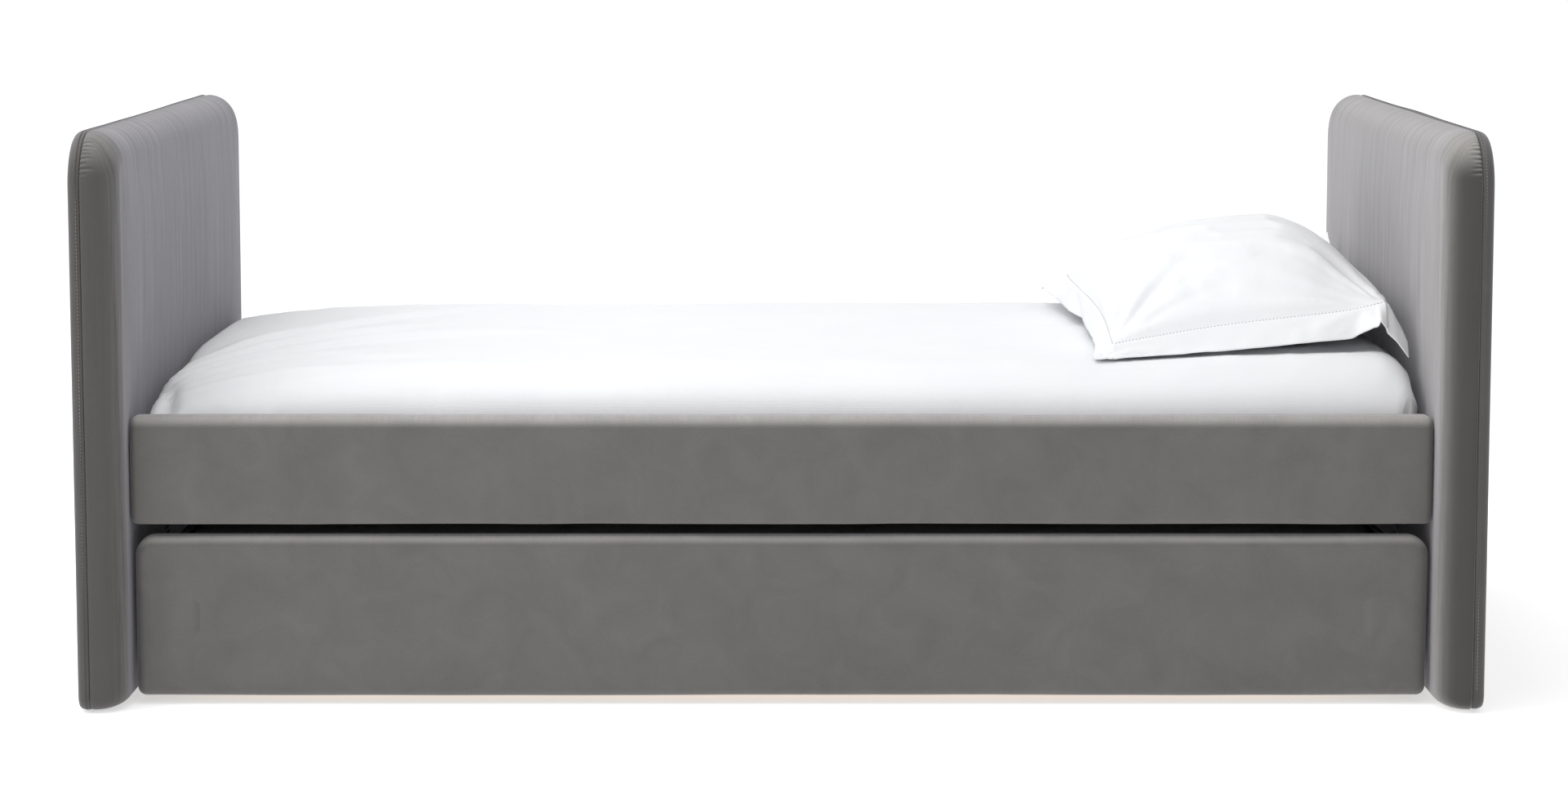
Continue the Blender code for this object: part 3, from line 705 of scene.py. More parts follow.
# ---- mattresses and bedding --------------------------------------------------------------------
def rounded_slab(low, high, edge, rows, spacing):
    """A mattress's rings: places on the underside's edge, up the side, and over the top. Each ring is
    (inset, height, how far the ring is over the top from 0 to 1)."""
    turn = np.linspace(0, math.pi / 2, rows)
    rings = [(edge * (1 - math.sin(a)), low.z + edge * (1 - math.cos(a)), 0.0) for a in turn]
    side = np.arange(low.z + edge + spacing, high.z - edge, spacing)
    rings += [(0.0, z, 0.0) for z in side]
    rings += [(edge * (1 - math.cos(a)), high.z - edge * (1 - math.sin(a)), math.sin(a)) for a in turn[::-1]]
    return rings


def piping(name, ring, height, radius, surface):
    """A sewn cord round a mattress's edge. ring holds its places in X and Y."""
    sides = 8
    after, before = np.roll(ring, -1, axis=0), np.roll(ring, 1, axis=0)
    ahead = after - before
    out = np.column_stack([ahead[:, 1], -ahead[:, 0]])
    out /= np.linalg.norm(out, axis=1)[:, None]
    points = []
    for i in range(sides):
        angle = 2 * math.pi * i / sides
        spot = ring + out * (radius * math.cos(angle))
        points.append(np.column_stack([spot, height + np.full(len(ring), radius * math.sin(angle))]))
    count = len(ring)
    faces = []
    for i in range(sides):
        j = (i + 1) % sides
        for k in range(count):
            m = (k + 1) % count
            faces.append((i * count + k, i * count + m, j * count + m, j * count + k))
    return mesh_object(name, np.concatenate(points), faces, surface)


def plan_ring(low, high, inset, corner, step=0.012):
    """A rounded rectangle seen from above, pulled in by inset, as X and Y."""
    half_x, half_y = (high.x - low.x) / 2, (high.y - low.y) / 2
    along_x, along_y = 2 * int(half_x / step), 2 * int(half_y / step)
    counts = (along_x, along_y, along_x, 14, 14)
    radius = max(corner - inset, 0.015)
    ring, normals = rounded_ring(half_x - inset, inset - half_y, half_y - inset, radius, radius, counts)
    return ring + [(low.x + high.x) / 2, (low.y + high.y) / 2], normals


def mattress_like(
    name, node_name, body, slot, surface, corner, edge, wrinkle, seed, cord_radius, ceiling=None
):
    """A mattress with piped edges: straight sides, a softly uneven top, and its cover's wrinkles. ceiling
    gives the height at X and Y that it stays under."""
    low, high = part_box(node_name)
    if ceiling:
        low.x, high.x, low.y, high.y = low.x + 0.006, high.x - 0.006, low.y + 0.006, high.y - 0.006

    def under(points):
        if ceiling:
            points[:, 2] = np.minimum(points[:, 2], ceiling(points[:, 0], points[:, 1]))
        return points

    rings = rounded_slab(low, high, edge, 6, 0.012)
    inner = min(high.x - low.x, high.y - low.y) / 2 - 0.03
    rings += [(d, high.z, 1.0) for d in np.arange(edge + 0.012, inner, 0.012)]
    points = []
    for inset, z, over in rings:
        ring, normals = plan_ring(low, high, inset, corner)
        place = np.column_stack([ring, np.full(len(ring), z)])
        fold = wrinkle(place, seed)
        ring = ring - normals * ((1 - over) * np.abs(fold))[:, None]
        points.append(under(np.column_stack([ring, z - over * np.abs(fold)])))
    piece = mesh_object(name, np.concatenate(points), ring_faces(len(rings), len(points[0])), surface)
    finish_piece(piece, body, slot, node_name)
    ring, _ = plan_ring(low, high, edge * 0.14 + 0.001, corner)
    for word, height in (("upper", high.z - edge * 0.55), ("lower", low.z + edge * 0.6)):
        if ceiling:
            height = np.minimum(height, ceiling(ring[:, 0], ring[:, 1]) - cord_radius)
        cord = piping(f"{name}_{word}_piping", ring, height, cord_radius, surface)
        finish_piece(cord, body, slot)


def slack_cover(place, seed):
    """Wrinkles of a loose thin cover: long shallow creases over broad hollows."""
    x, y, z = place.T
    turned = np.column_stack([x * 0.9 + y * 0.5, y * 0.9 - x * 0.5, z])
    creases = 1 - np.abs(layered_noise(turned * [0.45, 1, 1], (0.09, 0.035), seed))
    return 0.0035 * creases**5 + 0.0028 * layered_noise(place, (0.30, 0.14), seed + 3)


def firm_cover(place, seed):
    return 0.0012 * layered_noise(place, (0.20, 0.08), seed)


# ---- the dressed bed ---------------------------------------------------------------------------
def grid_quads(rows, columns):
    """The faces of a grid of points, as four columns of point numbers."""
    index = np.arange(rows * columns).reshape(rows, columns)
    corners = [index[:-1, :-1], index[1:, :-1], index[1:, 1:], index[:-1, 1:]]
    return np.stack([corner.ravel() for corner in corners], axis=-1)


def settle(name, places, rest, pinned, pushed, pressure, frames, colliders, weave):
    """Lets a grid of cloth settle from places, where rest holds it as it was cut. pinned is how firmly
    each point is held, pushed says which points the filling presses outward. Returns the settled grid."""
    cloth = grid_mesh(name, places)
    index = np.arange(pinned.size).reshape(pinned.shape)
    for group_name, weights in (("held", pinned), ("filled", pushed)):
        group = cloth.vertex_groups.new(name=group_name)
        for value in np.unique(weights[weights > 0]):
            group.add(index[weights == value].tolist(), float(value), "REPLACE")
    cloth.shape_key_add(name="Basis")
    key = cloth.shape_key_add(name="rest")
    key.data.foreach_set("co", rest.ravel())
    key.value = 0.0
    modifier = cloth.modifiers.new("cloth", "CLOTH")
    settings = modifier.settings
    settings.quality = 7
    settings.mass = weave["mass"]
    settings.air_damping = 1.0
    settings.tension_stiffness = settings.compression_stiffness = weave["stiffness"]
    settings.shear_stiffness = weave["stiffness"] * 0.3
    settings.tension_damping = settings.compression_damping = settings.shear_damping = 2.0
    settings.bending_stiffness = weave["bending"]
    settings.bending_damping = 0.6
    settings.use_pressure = pressure > 0
    settings.uniform_pressure_force = pressure
    settings.vertex_group_pressure = "filled"
    settings.vertex_group_mass = "held"
    settings.rest_shape_key = key
    settings.effector_weights.gravity = weave["gravity"]
    modifier.collision_settings.distance_min = 0.002
    modifier.point_cache.frame_end = frames
    for collider in colliders:
        collider.modifiers.new("collision", "COLLISION")
        collider.collision.thickness_outer = 0.002
        collider.collision.cloth_friction = 10
    scene = bpy.context.scene
    scene.frame_start, scene.frame_end = 1, frames
    for step in range(1, frames + 1):
        scene.frame_set(step)
    settled = np.zeros(places.size, np.float32)
    cloth.evaluated_get(bpy.context.evaluated_depsgraph_get()).data.vertices.foreach_get("co", settled)
    scene.frame_set(1)
    for used in (cloth, *colliders):
        bpy.data.objects.remove(used)
    return settled.reshape(places.shape).astype(float)


def blurred(grid, times):
    """A grid of values smoothed along both of its directions."""
    for _ in range(times):
        for axis in (0, 1):
            padded = np.concatenate([np.take(grid, [0], axis), grid, np.take(grid, [-1], axis)], axis)
            size = grid.shape[axis]
            low = np.take(padded, range(size), axis)
            high = np.take(padded, range(2, size + 2), axis)
            grid = 0.25 * low + 0.5 * grid + 0.25 * high
    return grid


def keep_proportions(places, settled, share):
    """Keeps the settled cloth's folds, but only a share of its broad drift from the measured places."""
    drift = settled - places
    broad = blurred(drift, 40)
    return places + drift - (1 - share) * broad


def finer(grid):
    """The grid with a point added between each two, on a smooth curve through its neighbours."""
    for axis in (0, 1):
        size = grid.shape[axis]
        before = np.take(grid, np.maximum(np.arange(-1, size - 2), 0), axis)
        start, end = np.take(grid, range(size - 1), axis), np.take(grid, range(1, size), axis)
        after = np.take(grid, np.minimum(np.arange(2, size + 1), size - 1), axis)
        middle = (9 * (start + end) - before - after) / 16
        shape = list(grid.shape)
        shape[axis] = 2 * size - 1
        fine = np.zeros(shape)
        even, odd = [slice(None)] * grid.ndim, [slice(None)] * grid.ndim
        even[axis], odd[axis] = slice(0, None, 2), slice(1, None, 2)
        fine[tuple(even)], fine[tuple(odd)] = grid, middle
        grid = fine
    return grid


def grid_normals(grid):
    """Unit normals of a grid of points, on the side where rows x columns turn anticlockwise."""
    normals = np.cross(np.gradient(grid, axis=0), np.gradient(grid, axis=1))
    return normals / np.maximum(np.linalg.norm(normals, axis=-1, keepdims=True), 1e-9)


def closed_sheet(name, top, under, surface, cloth):
    """A closed piece from two grids of the same size that share only their outline's faces."""
    rows, columns = top.shape[:2]
    index = np.arange(rows * columns).reshape(rows, columns)
    shift = rows * columns
    quads = grid_quads(rows, columns)
    edge = np.concatenate([index[:, 0], index[-1, 1:], index[-2::-1, -1], index[0, -2:0:-1]])
    after = np.roll(edge, -1)
    border = np.column_stack([edge, edge + shift, after + shift, after])
    faces = np.concatenate([quads, quads[:, ::-1] + shift, border]).tolist()
    points = np.concatenate([top.reshape(-1, 3), under.reshape(-1, 3)])
    places = np.concatenate([cloth.reshape(-1, 2)] * 2)
    return mesh_object(name, points, faces, surface, places)


def plain_mesh(name, points, faces):
    mesh = bpy.data.meshes.new(name)
    mesh.from_pydata(points, [], faces)
    made = bpy.data.objects.new(name, mesh)
    bpy.context.scene.collection.objects.link(made)
    return made


def grid_mesh(name, grid):
    return plain_mesh(name, grid.reshape(-1, 3).tolist(), grid_quads(*grid.shape[:2]).tolist())


def to_shares(value, shares, values):
    """A smooth curve through values at shares from 0 to 1."""
    shares, values = np.array(shares, float), np.array(values, float)
    slopes = np.gradient(values, shares)
    i = np.clip(np.searchsorted(shares, value, side="right") - 1, 0, len(shares) - 2)
    step = shares[i + 1] - shares[i]
    t = (value - shares[i]) / step
    left = values[i] * (1 + 2 * t) * (1 - t) ** 2 + step * slopes[i] * t * (1 - t) ** 2
    right = values[i + 1] * t * t * (3 - 2 * t) + step * slopes[i + 1] * t * t * (t - 1)
    return left + right


def sheet_noise(a, b, sizes, seed, along=1.0):
    """Layered noise over places on flat cloth. A small along stretches it in the first direction."""
    spots = np.stack([a * along, b, 0 * a], axis=-1).reshape(-1, 3)
    return layered_noise(spots, sizes, seed).reshape(a.shape)


# The bedding
BEDDING_EDGE = 0.404  # height of the bedding's edge behind the rails
BEDDING_CROWN = 0.4985
BEDDING_HEM = 0.345
BEDDING_CELL = 0.0115
BEDDING_THICKNESS = 0.0016
BEDDING_CORNER = 0.045  # radius of its corners seen from above
SIDE_ROUND, RIGHT_ROUND, LEFT_SLOPE = 0.085, 0.060, 0.42  # how far in from its edges it still rises
FINE_LENGTH = 0.48  # length of the left end, where the grid is finer
SKIRT = np.array([0.011, 0.022, 0.034, 0.047, 0.059])  # rows of the turned-down edge
BEDDING_HALF_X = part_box("bed_sheet")[1].x + 0.0005
BEDDING_HALF_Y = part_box("bed_sheet")[1].y - 0.001
# How high the bedding meets the left end panel, from front to back
LEFT_EDGE_Y = (-0.494, -0.45, -0.38, -0.35, -0.29, -0.19, -0.09, -0.05, 0.04, 0.33, 0.45, 0.494)
LEFT_EDGE_HEIGHT = (0.410, 0.420, 0.428, 0.437, 0.444, 0.449, 0.453, 0.461, 0.467, 0.467, 0.464, 0.452)
CORNER_FOLDS = (  # place in the fan, width, height and reach along the bed
    (0.16, 0.040, 0.011, 0.34),
    (0.31, 0.044, 0.012, 0.50),
    (0.48, 0.048, 0.013, 0.40),
    (0.68, 0.052, 0.012, 0.70),
    (0.92, 0.060, 0.013, 0.46),
    (1.22, 0.066, 0.010, 0.60),
)
PERCALE = {"mass": 0.05, "stiffness": 80.0, "bending": 0.02, "gravity": 0.2}


def bedding_height(x, y):
    """The bedding's soft top: level in the middle, rounded to the rails and to the right end panel, and
    falling a long way to the left end panel."""
    from_left = np.clip(x + BEDDING_HALF_X, 0, None)
    from_right = np.clip(BEDDING_HALF_X - x, 0, None)
    from_side = np.clip(BEDDING_HALF_Y - np.abs(y), 0, None)
    side = np.sqrt(1 - (1 - np.clip(from_side / SIDE_ROUND, 0, 1)) ** 2)
    left = (1 - (1 - np.clip(from_left / LEFT_SLOPE, 0, 1)) ** 2) ** 0.62
    right = np.sqrt(1 - (1 - np.clip(from_right / RIGHT_ROUND, 0, 1)) ** 2)
    left_edge = np.interp(y, LEFT_EDGE_Y, LEFT_EDGE_HEIGHT) - BEDDING_EDGE
    right_edge = 0.028 + 0.026 * np.sqrt(np.clip(from_side / 0.4, 0, 1))
    crown = BEDDING_CROWN - BEDDING_EDGE + 0.011 * smooth_step(x, 0.45, 0.80)
    left_part = left_edge + (crown * side - left_edge) * left
    right_part = right_edge + (crown * side - right_edge) * right
    tuck = 0.030 * (1 - np.sqrt(np.clip(np.minimum(from_left, from_right) / 0.010, 0, 1)))
    rise = np.where(x < 0, left_part, right_part) * smooth_step(from_side, -0.012, 0.010)
    return BEDDING_EDGE + rise - tuck


def under_bedding(x, y):
    """The height that the mattress stays under."""
    return bedding_height(x, y) - 0.016


def rounded_plan(x, y, half_x, half_y, radius):
    """Moves points of a rectangle so that its corners become round."""
    u = np.clip((np.abs(x) - half_x + radius) / radius, 0, 1)
    v = np.clip((np.abs(y) - half_y + radius) / radius, 0, 1)
    both = (u > 0) & (v > 0)
    new_x = np.where(both, half_x - radius + radius * u * np.sqrt(1 - v * v / 2), np.abs(x))
    new_y = np.where(both, half_y - radius + radius * v * np.sqrt(1 - u * u / 2), np.abs(y))
    return np.sign(x) * new_x, np.sign(y) * new_y


def bedding_folds(x, y):
    """Soft unevenness over the whole sheet, with a fine crumple."""
    from_right = BEDDING_HALF_X - x
    soft = sheet_noise(x, y, (0.34, 0.16), 79)
    crumple = 1 - np.abs(sheet_noise(x, y, (0.085, 0.040, 0.018), 83, 0.6))
    pull = (1 - smooth_step(from_right, 0.02, 0.25)) * smooth_step(from_right, -0.01, 0.05)
    drawn = 1 - np.abs(sheet_noise(x, y, (0.09, 0.04), 73, 0.25))
    return 0.0026 * soft + 0.0013 * (crumple**4 - 0.3) + 0.0030 * (drawn**4 - 0.3) * pull


def corner_folds(x, y):
    """Folds that fan out of the front left corner: back along the left slope, then along the bed. With them,
    one deep fold in the corner, and small notches where the sheet goes in behind the front rail."""
    from_left, from_front = x + BEDDING_HALF_X, y + BEDDING_HALF_Y
    spread = 0.10 + 0.9 * np.sqrt(np.clip(from_left, 0, None) + 0.004)
    fan = (from_front + 0.028 * sheet_noise(x, y, (0.30, 0.12), 71)) / spread**1.1
    total = 0 * x
    for place, width, height, reach in CORNER_FOLDS:
        aside = (fan - place) * spread
        slope = np.where(aside < 0, 0.28 * width, 1.1 * width)
        ridge = np.exp(-((aside / slope) ** 2)) - 0.30 * np.exp(-((aside / (1.7 * width)) ** 2))
        ends = smooth_step(from_left, -0.010, 0.030) * (1 - smooth_step(from_left, 0.4 * reach, reach))
        total += height * ridge * ends
    deep_fold = np.exp(-(((from_left - 0.030 + 0.12 * (y + 0.42)) / 0.010) ** 2))
    deep_fold = deep_fold * (1 - smooth_step(y, -0.42, -0.34))
    notches = 1 - np.abs(sheet_noise(x, y, (0.035,), 95))
    front = 1 - smooth_step(from_front, 0.008, 0.030)
    near = 1 - smooth_step(from_left, 0.20, 0.60)
    return total - 0.016 * deep_fold - 0.010 * notches**5 * front * (0.25 + 0.75 * near)


def settle_bedding(top, inside):
    """Cloth cut a little wider than the bed gathers into folds at its left end as it settles."""
    from_left = top[..., 0] + BEDDING_HALF_X
    rest = top.copy()
    rest[..., 1] *= 1.010 + 0.050 * (1 - smooth_step(from_left, 0.05, 0.50))
    rest[..., 0] *= 1.006
    held = np.where(inside <= 0, 1.0, 0.0)
    support = top[::3, ::3].copy()
    support[..., 2] -= 0.006
    colliders = [grid_mesh("bed_support", support)]
    settled = settle("bedding_cloth", top, rest, held, 0 * held, 0.0, 16, colliders, PERCALE)
    return keep_proportions(top, settled, 0.3)


def bedding(surfaces):
    """The white sheet over the mattress, turned down behind the rails and at the ends."""
    cells_x = int((2 * BEDDING_HALF_X - FINE_LENGTH) / BEDDING_CELL)
    cells_y = int(2 * BEDDING_HALF_Y / (0.75 * BEDDING_CELL))
    left_part = np.arange(-BEDDING_HALF_X, -BEDDING_HALF_X + FINE_LENGTH, 0.7 * BEDDING_CELL)
    a = np.concatenate([left_part[:-1], np.linspace(left_part[-1], BEDDING_HALF_X, cells_x)])
    b = np.linspace(-BEDDING_HALF_Y, BEDDING_HALF_Y, cells_y + 1)
    a = np.concatenate([a[0] - SKIRT[::-1], a, a[-1] + SKIRT])
    b = np.concatenate([b[0] - SKIRT[::-1], b, b[-1] + SKIRT])
    flat_x, flat_y = np.meshgrid(a, b, indexing="ij")
    x = np.clip(flat_x, -BEDDING_HALF_X, BEDDING_HALF_X)
    y = np.clip(flat_y, -BEDDING_HALF_Y, BEDDING_HALF_Y)
    hung = np.maximum(np.abs(flat_x - x), np.abs(flat_y - y))
    x, y = rounded_plan(x, y, BEDDING_HALF_X, BEDDING_HALF_Y, BEDDING_CORNER)
    edge = np.minimum(BEDDING_HALF_X - np.abs(x), BEDDING_HALF_Y - np.abs(y))
    inside = smooth_step(edge, 0.002, 0.035)
    folds = bedding_folds(x, y) * inside
    top = np.stack([x, y, bedding_height(x, y) + 0.6 * folds], axis=-1)
    core = slice(len(SKIRT), -len(SKIRT))
    top[core, core] = settle_bedding(top[core, core], inside[core, core])
    top[..., 2] += 0.4 * folds + corner_folds(x, y)
    top[..., 2] = np.minimum(top[..., 2], BEDDING_CROWN + 0.012)
    top[..., 2] -= hung * np.clip((top[..., 2] - BEDDING_HEM) / SKIRT[-1], 0, None)
    thickness = BEDDING_THICKNESS * (1 - smooth_step(hung, 0, 0.001))[..., None]
    under = top - grid_normals(blurred(top, 1)) * thickness
    drawn_in = np.stack([0.998 * x, 0.997 * y, under[..., 2]], axis=-1)
    under = np.where(hung[..., None] > 0, drawn_in, under)
    cloth = np.stack([flat_x, flat_y], axis=-1)
    sheet = closed_sheet("bed_sheet_cloth", top, under, surfaces["cotton"], cloth)
    finish_piece(sheet, "bed", "white_cotton", "bed_sheet")


# The pillow: its seam's edges as places along each side, and its soft body and flange
PILLOW_HALF_A, PILLOW_HALF_B = 0.25, 0.365  # half the sewn body, laid flat
PILLOW_FLANGE = 0.050
PILLOW_CELL = 0.0076
PILLOW_RISE = 0.116
PILLOW_CREST = 0.62  # where the crest is along X, from 0 at the left seam to 1 at the right
FLANGE_ROWS = np.array([0.0030, 0.0095, 0.0165, 0.0235, 0.0305, 0.0375, 0.0440, PILLOW_FLANGE])
FLANGE_THICKNESS = 0.0018
WALL = INNER - 0.0015
SEAM_FRONT = (
    (0, 0.12, 0.3, 0.5, 0.7, 0.88, 1),
    (0.502, 0.552, 0.626, 0.710, 0.796, 0.872, 0.915),
    (-0.385, -0.378, -0.372, -0.370, -0.372, -0.378, -0.385),
    (0.523, 0.531, 0.5435, 0.555, 0.565, 0.575, 0.586),
)
SEAM_BACK = (
    (0, 0.3, 0.5, 0.7, 1),
    (0.490, 0.62, 0.71, 0.80, 0.930),
    (0.362, 0.352, 0.350, 0.352, 0.362),
    (0.553, 0.562, 0.572, 0.582, 0.592),
)
SEAM_LEFT = (
    (0, 0.25, 0.5, 0.8, 1),
    (0.502, 0.497, 0.490, 0.484, 0.490),
    (-0.385, -0.2, -0.01, 0.21, 0.362),
    (0.523, 0.550, 0.559, 0.562, 0.553),
)
SEAM_RIGHT = (
    (0, 0.25, 0.5, 0.8, 1),
    (0.915, 0.940, 0.948, 0.945, 0.930),
    (-0.385, -0.2, -0.01, 0.21, 0.362),
    (0.586, 0.578, 0.574, 0.580, 0.592),
)


def seam_place(share, seam):
    return np.stack([to_shares(share, seam[0], values) for values in seam[1:]], axis=-1)


def pillow_middle(s, t):
    """The pillow's middle surface between its four seams, at shares s along X and t along Y."""
    across, along = s[..., None], t[..., None]
    front, back = seam_place(s, SEAM_FRONT), seam_place(s, SEAM_BACK)
    left, right = seam_place(t, SEAM_LEFT), seam_place(t, SEAM_RIGHT)
    corner = {(i, j): seam_place(float(i), (SEAM_FRONT, SEAM_BACK)[j]) for i in (0, 1) for j in (0, 1)}
    low = corner[0, 0] * (1 - across) + corner[1, 0] * across
    high = corner[0, 1] * (1 - across) + corner[1, 1] * across
    sides = (1 - along) * front + along * back + (1 - across) * left + across * right
    return sides - (1 - along) * low - along * high


def pillow_fullness(s, t, front_power):
    """How full the pillow is between its seams, from 0 to 1."""
    left = np.sin(math.pi / 2 * np.clip(s / PILLOW_CREST, 0, 1)) ** 0.46
    right = np.sin(math.pi / 2 * np.clip((1 - s) / (1 - PILLOW_CREST), 0, 1))
    return np.where(s < PILLOW_CREST, left, right) * np.sin(math.pi * np.clip(t, 0, 1)) ** front_power


def flange_places(flat_a, flat_b, s, t):
    """How far the flange's points lie from the seam: it hangs at the left, stands off a little in front,
    lies down the end panel at the right, and curls up at its back corners."""
    past_left = np.clip(-flat_a - PILLOW_HALF_A, 0, None)
    past_right = np.clip(flat_a - PILLOW_HALF_A, 0, None)
    past_front = np.clip(-flat_b - PILLOW_HALF_B, 0, None)
    past_back = np.clip(flat_b - PILLOW_HALF_B, 0, None)
    left_x = np.interp(t, [0, 0.12, 0.3, 0.5, 0.75, 1], [-0.62, -0.20, 0.02, 0.02, -0.45, -0.85])
    left_z = np.interp(t, [0, 0.12, 0.3, 0.5, 0.75, 1], [-0.50, -0.80, -0.95, -0.97, -0.86, -0.40])
    right_x = np.interp(t, [0, 0.2, 0.8, 1], [0.62, 0.22, 0.15, 0.20])
    right_z = np.interp(t, [0, 0.2, 0.8, 0.93, 1], [-0.86, -0.96, -0.96, -0.2, 0.25])
    front_y = np.interp(s, [0, 0.06, 0.2, 0.88, 0.94, 1], [-0.80, -0.70, -0.62, -0.62, -0.88, -0.72])
    front_fall = [-0.50, -0.62, -0.78, -0.80, -0.40, -0.42, -0.80]
    front_z = np.interp(s, [0, 0.06, 0.2, 0.86, 0.93, 0.97, 1], front_fall)
    back_y = np.interp(s, [0, 0.8, 1], [0.84, 0.84, 0.70])
    back_z = np.interp(s, [0, 0.1, 0.8, 1], [-0.20, -0.50, -0.50, 0.40])
    moved_x = past_left * left_x + past_right * right_x
    moved_y = past_front * front_y + past_back * back_y
    moved_z = past_left * left_z + past_right * right_z + past_front * front_z + past_back * back_z
    return np.stack([moved_x, moved_y, moved_z], axis=-1)


def seam_shares(flat_a, flat_b):
    """Where points of the flat pillowcase lie between its seams, as shares along X and along Y."""
    s = np.clip(flat_a / (2 * PILLOW_HALF_A) + 0.5, 0, 1)
    return s, np.clip(flat_b / (2 * PILLOW_HALF_B) + 0.5, 0, 1)


def pillow_axis(half):
    body = np.linspace(-half, half, int(round(2 * half / PILLOW_CELL)) + 1)
    return np.concatenate([-half - FLANGE_ROWS[::-1], body, half + FLANGE_ROWS])


def within_bed(grid):
    """Keeps a grid of points off the end panel and on top of the bedding."""
    grid[..., 0] = np.minimum(grid[..., 0], WALL - 0.0012)
    floor = bedding_height(grid[..., 0], np.clip(grid[..., 1], -0.40, 0.40)) + 0.0042
    grid[..., 2] = np.maximum(grid[..., 2], floor)
    return grid


def settle_pillow(flat_a, flat_b, places, body):
    """Lets the pillowcase's upper side settle, held along its seams and pressed out by the filling."""
    on_a = np.isclose(np.abs(flat_a), PILLOW_HALF_A) & (np.abs(flat_b) < PILLOW_HALF_B + 1e-6)
    on_b = np.isclose(np.abs(flat_b), PILLOW_HALF_B) & (np.abs(flat_a) < PILLOW_HALF_A + 1e-6)
    held = np.where(on_a | on_b, 1.0, 0.0)
    corner = (np.abs(flat_a) > PILLOW_HALF_A + 0.02) & (np.abs(flat_b) > PILLOW_HALF_B + 0.02)
    held[corner] = 0.6
    middle = places.reshape(-1, 3).mean(axis=0)
    rest = middle + (places - middle) * 1.06
    x, y = np.meshgrid(np.linspace(0.2, WALL, 40), np.linspace(-0.49, 0.49, 50), indexing="ij")
    bed = np.stack([x, y, bedding_height(x, np.clip(y, -0.40, 0.40)) + 0.002], axis=-1)
    wall = [(WALL, side, height) for side, height in ((-1, 0), (-1, 1), (1, 1), (1, 0))]
    colliders = [grid_mesh("bed_support", bed), plain_mesh("wall", wall, [(0, 1, 2, 3)])]
    filled = np.where(body, 1.0, 0.0)
    settled = settle("pillow_cloth", places, rest, held, filled, 1.5, 18, colliders, PERCALE)
    return keep_proportions(places, settled, 0.25)


def pillow_top():
    """The pillowcase's upper side as a grid of points, settled as cloth."""
    flat_a, flat_b = np.meshgrid(pillow_axis(PILLOW_HALF_A), pillow_axis(PILLOW_HALF_B), indexing="ij")
    s, t = seam_shares(flat_a, flat_b)
    places = pillow_middle(s, t) + flange_places(flat_a, flat_b, s, t)
    body = (np.abs(flat_a) < PILLOW_HALF_A - 1e-6) & (np.abs(flat_b) < PILLOW_HALF_B - 1e-6)
    spots = np.stack([flat_a, flat_b, 0 * flat_a], axis=-1).reshape(-1, 3)
    unevenness = noise(spots / 0.045, 3).reshape(flat_a.shape)
    places[..., 2] += PILLOW_RISE * pillow_fullness(s, t, 0.55) + 0.0015 * unevenness * body
    places = within_bed(places)
    places = within_bed(settle_pillow(flat_a, flat_b, places, body))
    return flat_a, flat_b, places


def pillow_details(flat_a, flat_b):
    """Heights that the settled grid is too coarse for: gathers beside the left seam, drawn folds from the
    front corners, the groove at the seam, and the flange's small waves."""
    from_left, from_front = flat_a + PILLOW_HALF_A, flat_b + PILLOW_HALF_B
    from_right, from_back = PILLOW_HALF_A - flat_a, PILLOW_HALF_B - flat_b
    inside = np.minimum(np.minimum(from_left, from_right), np.minimum(from_front, from_back))
    body = smooth_step(inside, 0.0, 0.006)
    sway = 0.004 * sheet_noise(flat_a, flat_b, (0.05,), 21)
    uneven = 0.5 + 0.5 * sheet_noise(flat_a, flat_b, (0.035,), 23)
    ribs = 0.5 + 0.5 * np.cos(2 * math.pi * (flat_b + sway) / 0.0125)
    left = 0.0013 * ribs * uneven * np.exp(-np.clip(from_left, 0, None) / 0.035)
    ribs = 0.5 + 0.5 * np.cos(2 * math.pi * (flat_a + sway) / 0.017)
    other = 0.0008 * ribs * uneven * np.exp(-np.clip(np.minimum(from_front, from_back), 0, None) / 0.02)
    folds = 0
    for near_a, strength, seed in ((from_left, 1.0, 31), (from_right, 0.8, 35)):
        angle = np.arctan2(np.clip(from_front, 0.004, None), np.clip(near_a, 0.004, None))
        reach = np.hypot(near_a, from_front)
        lobes = sheet_noise(angle / 0.20, reach / 0.5, (1.0,), seed)
        fade = smooth_step(reach, 0.015, 0.08) * (1 - smooth_step(reach, 0.16, 0.36))
        folds = folds + strength * 0.0075 * lobes * fade
    flange = 0.0008 * sheet_noise(flat_a, flat_b, (0.021,), 41) * smooth_step(-inside, 0.004, 0.03)
    groove = -0.0026 * np.exp(-((inside / 0.0032) ** 2))
    return body * (left + other + folds) + flange + groove


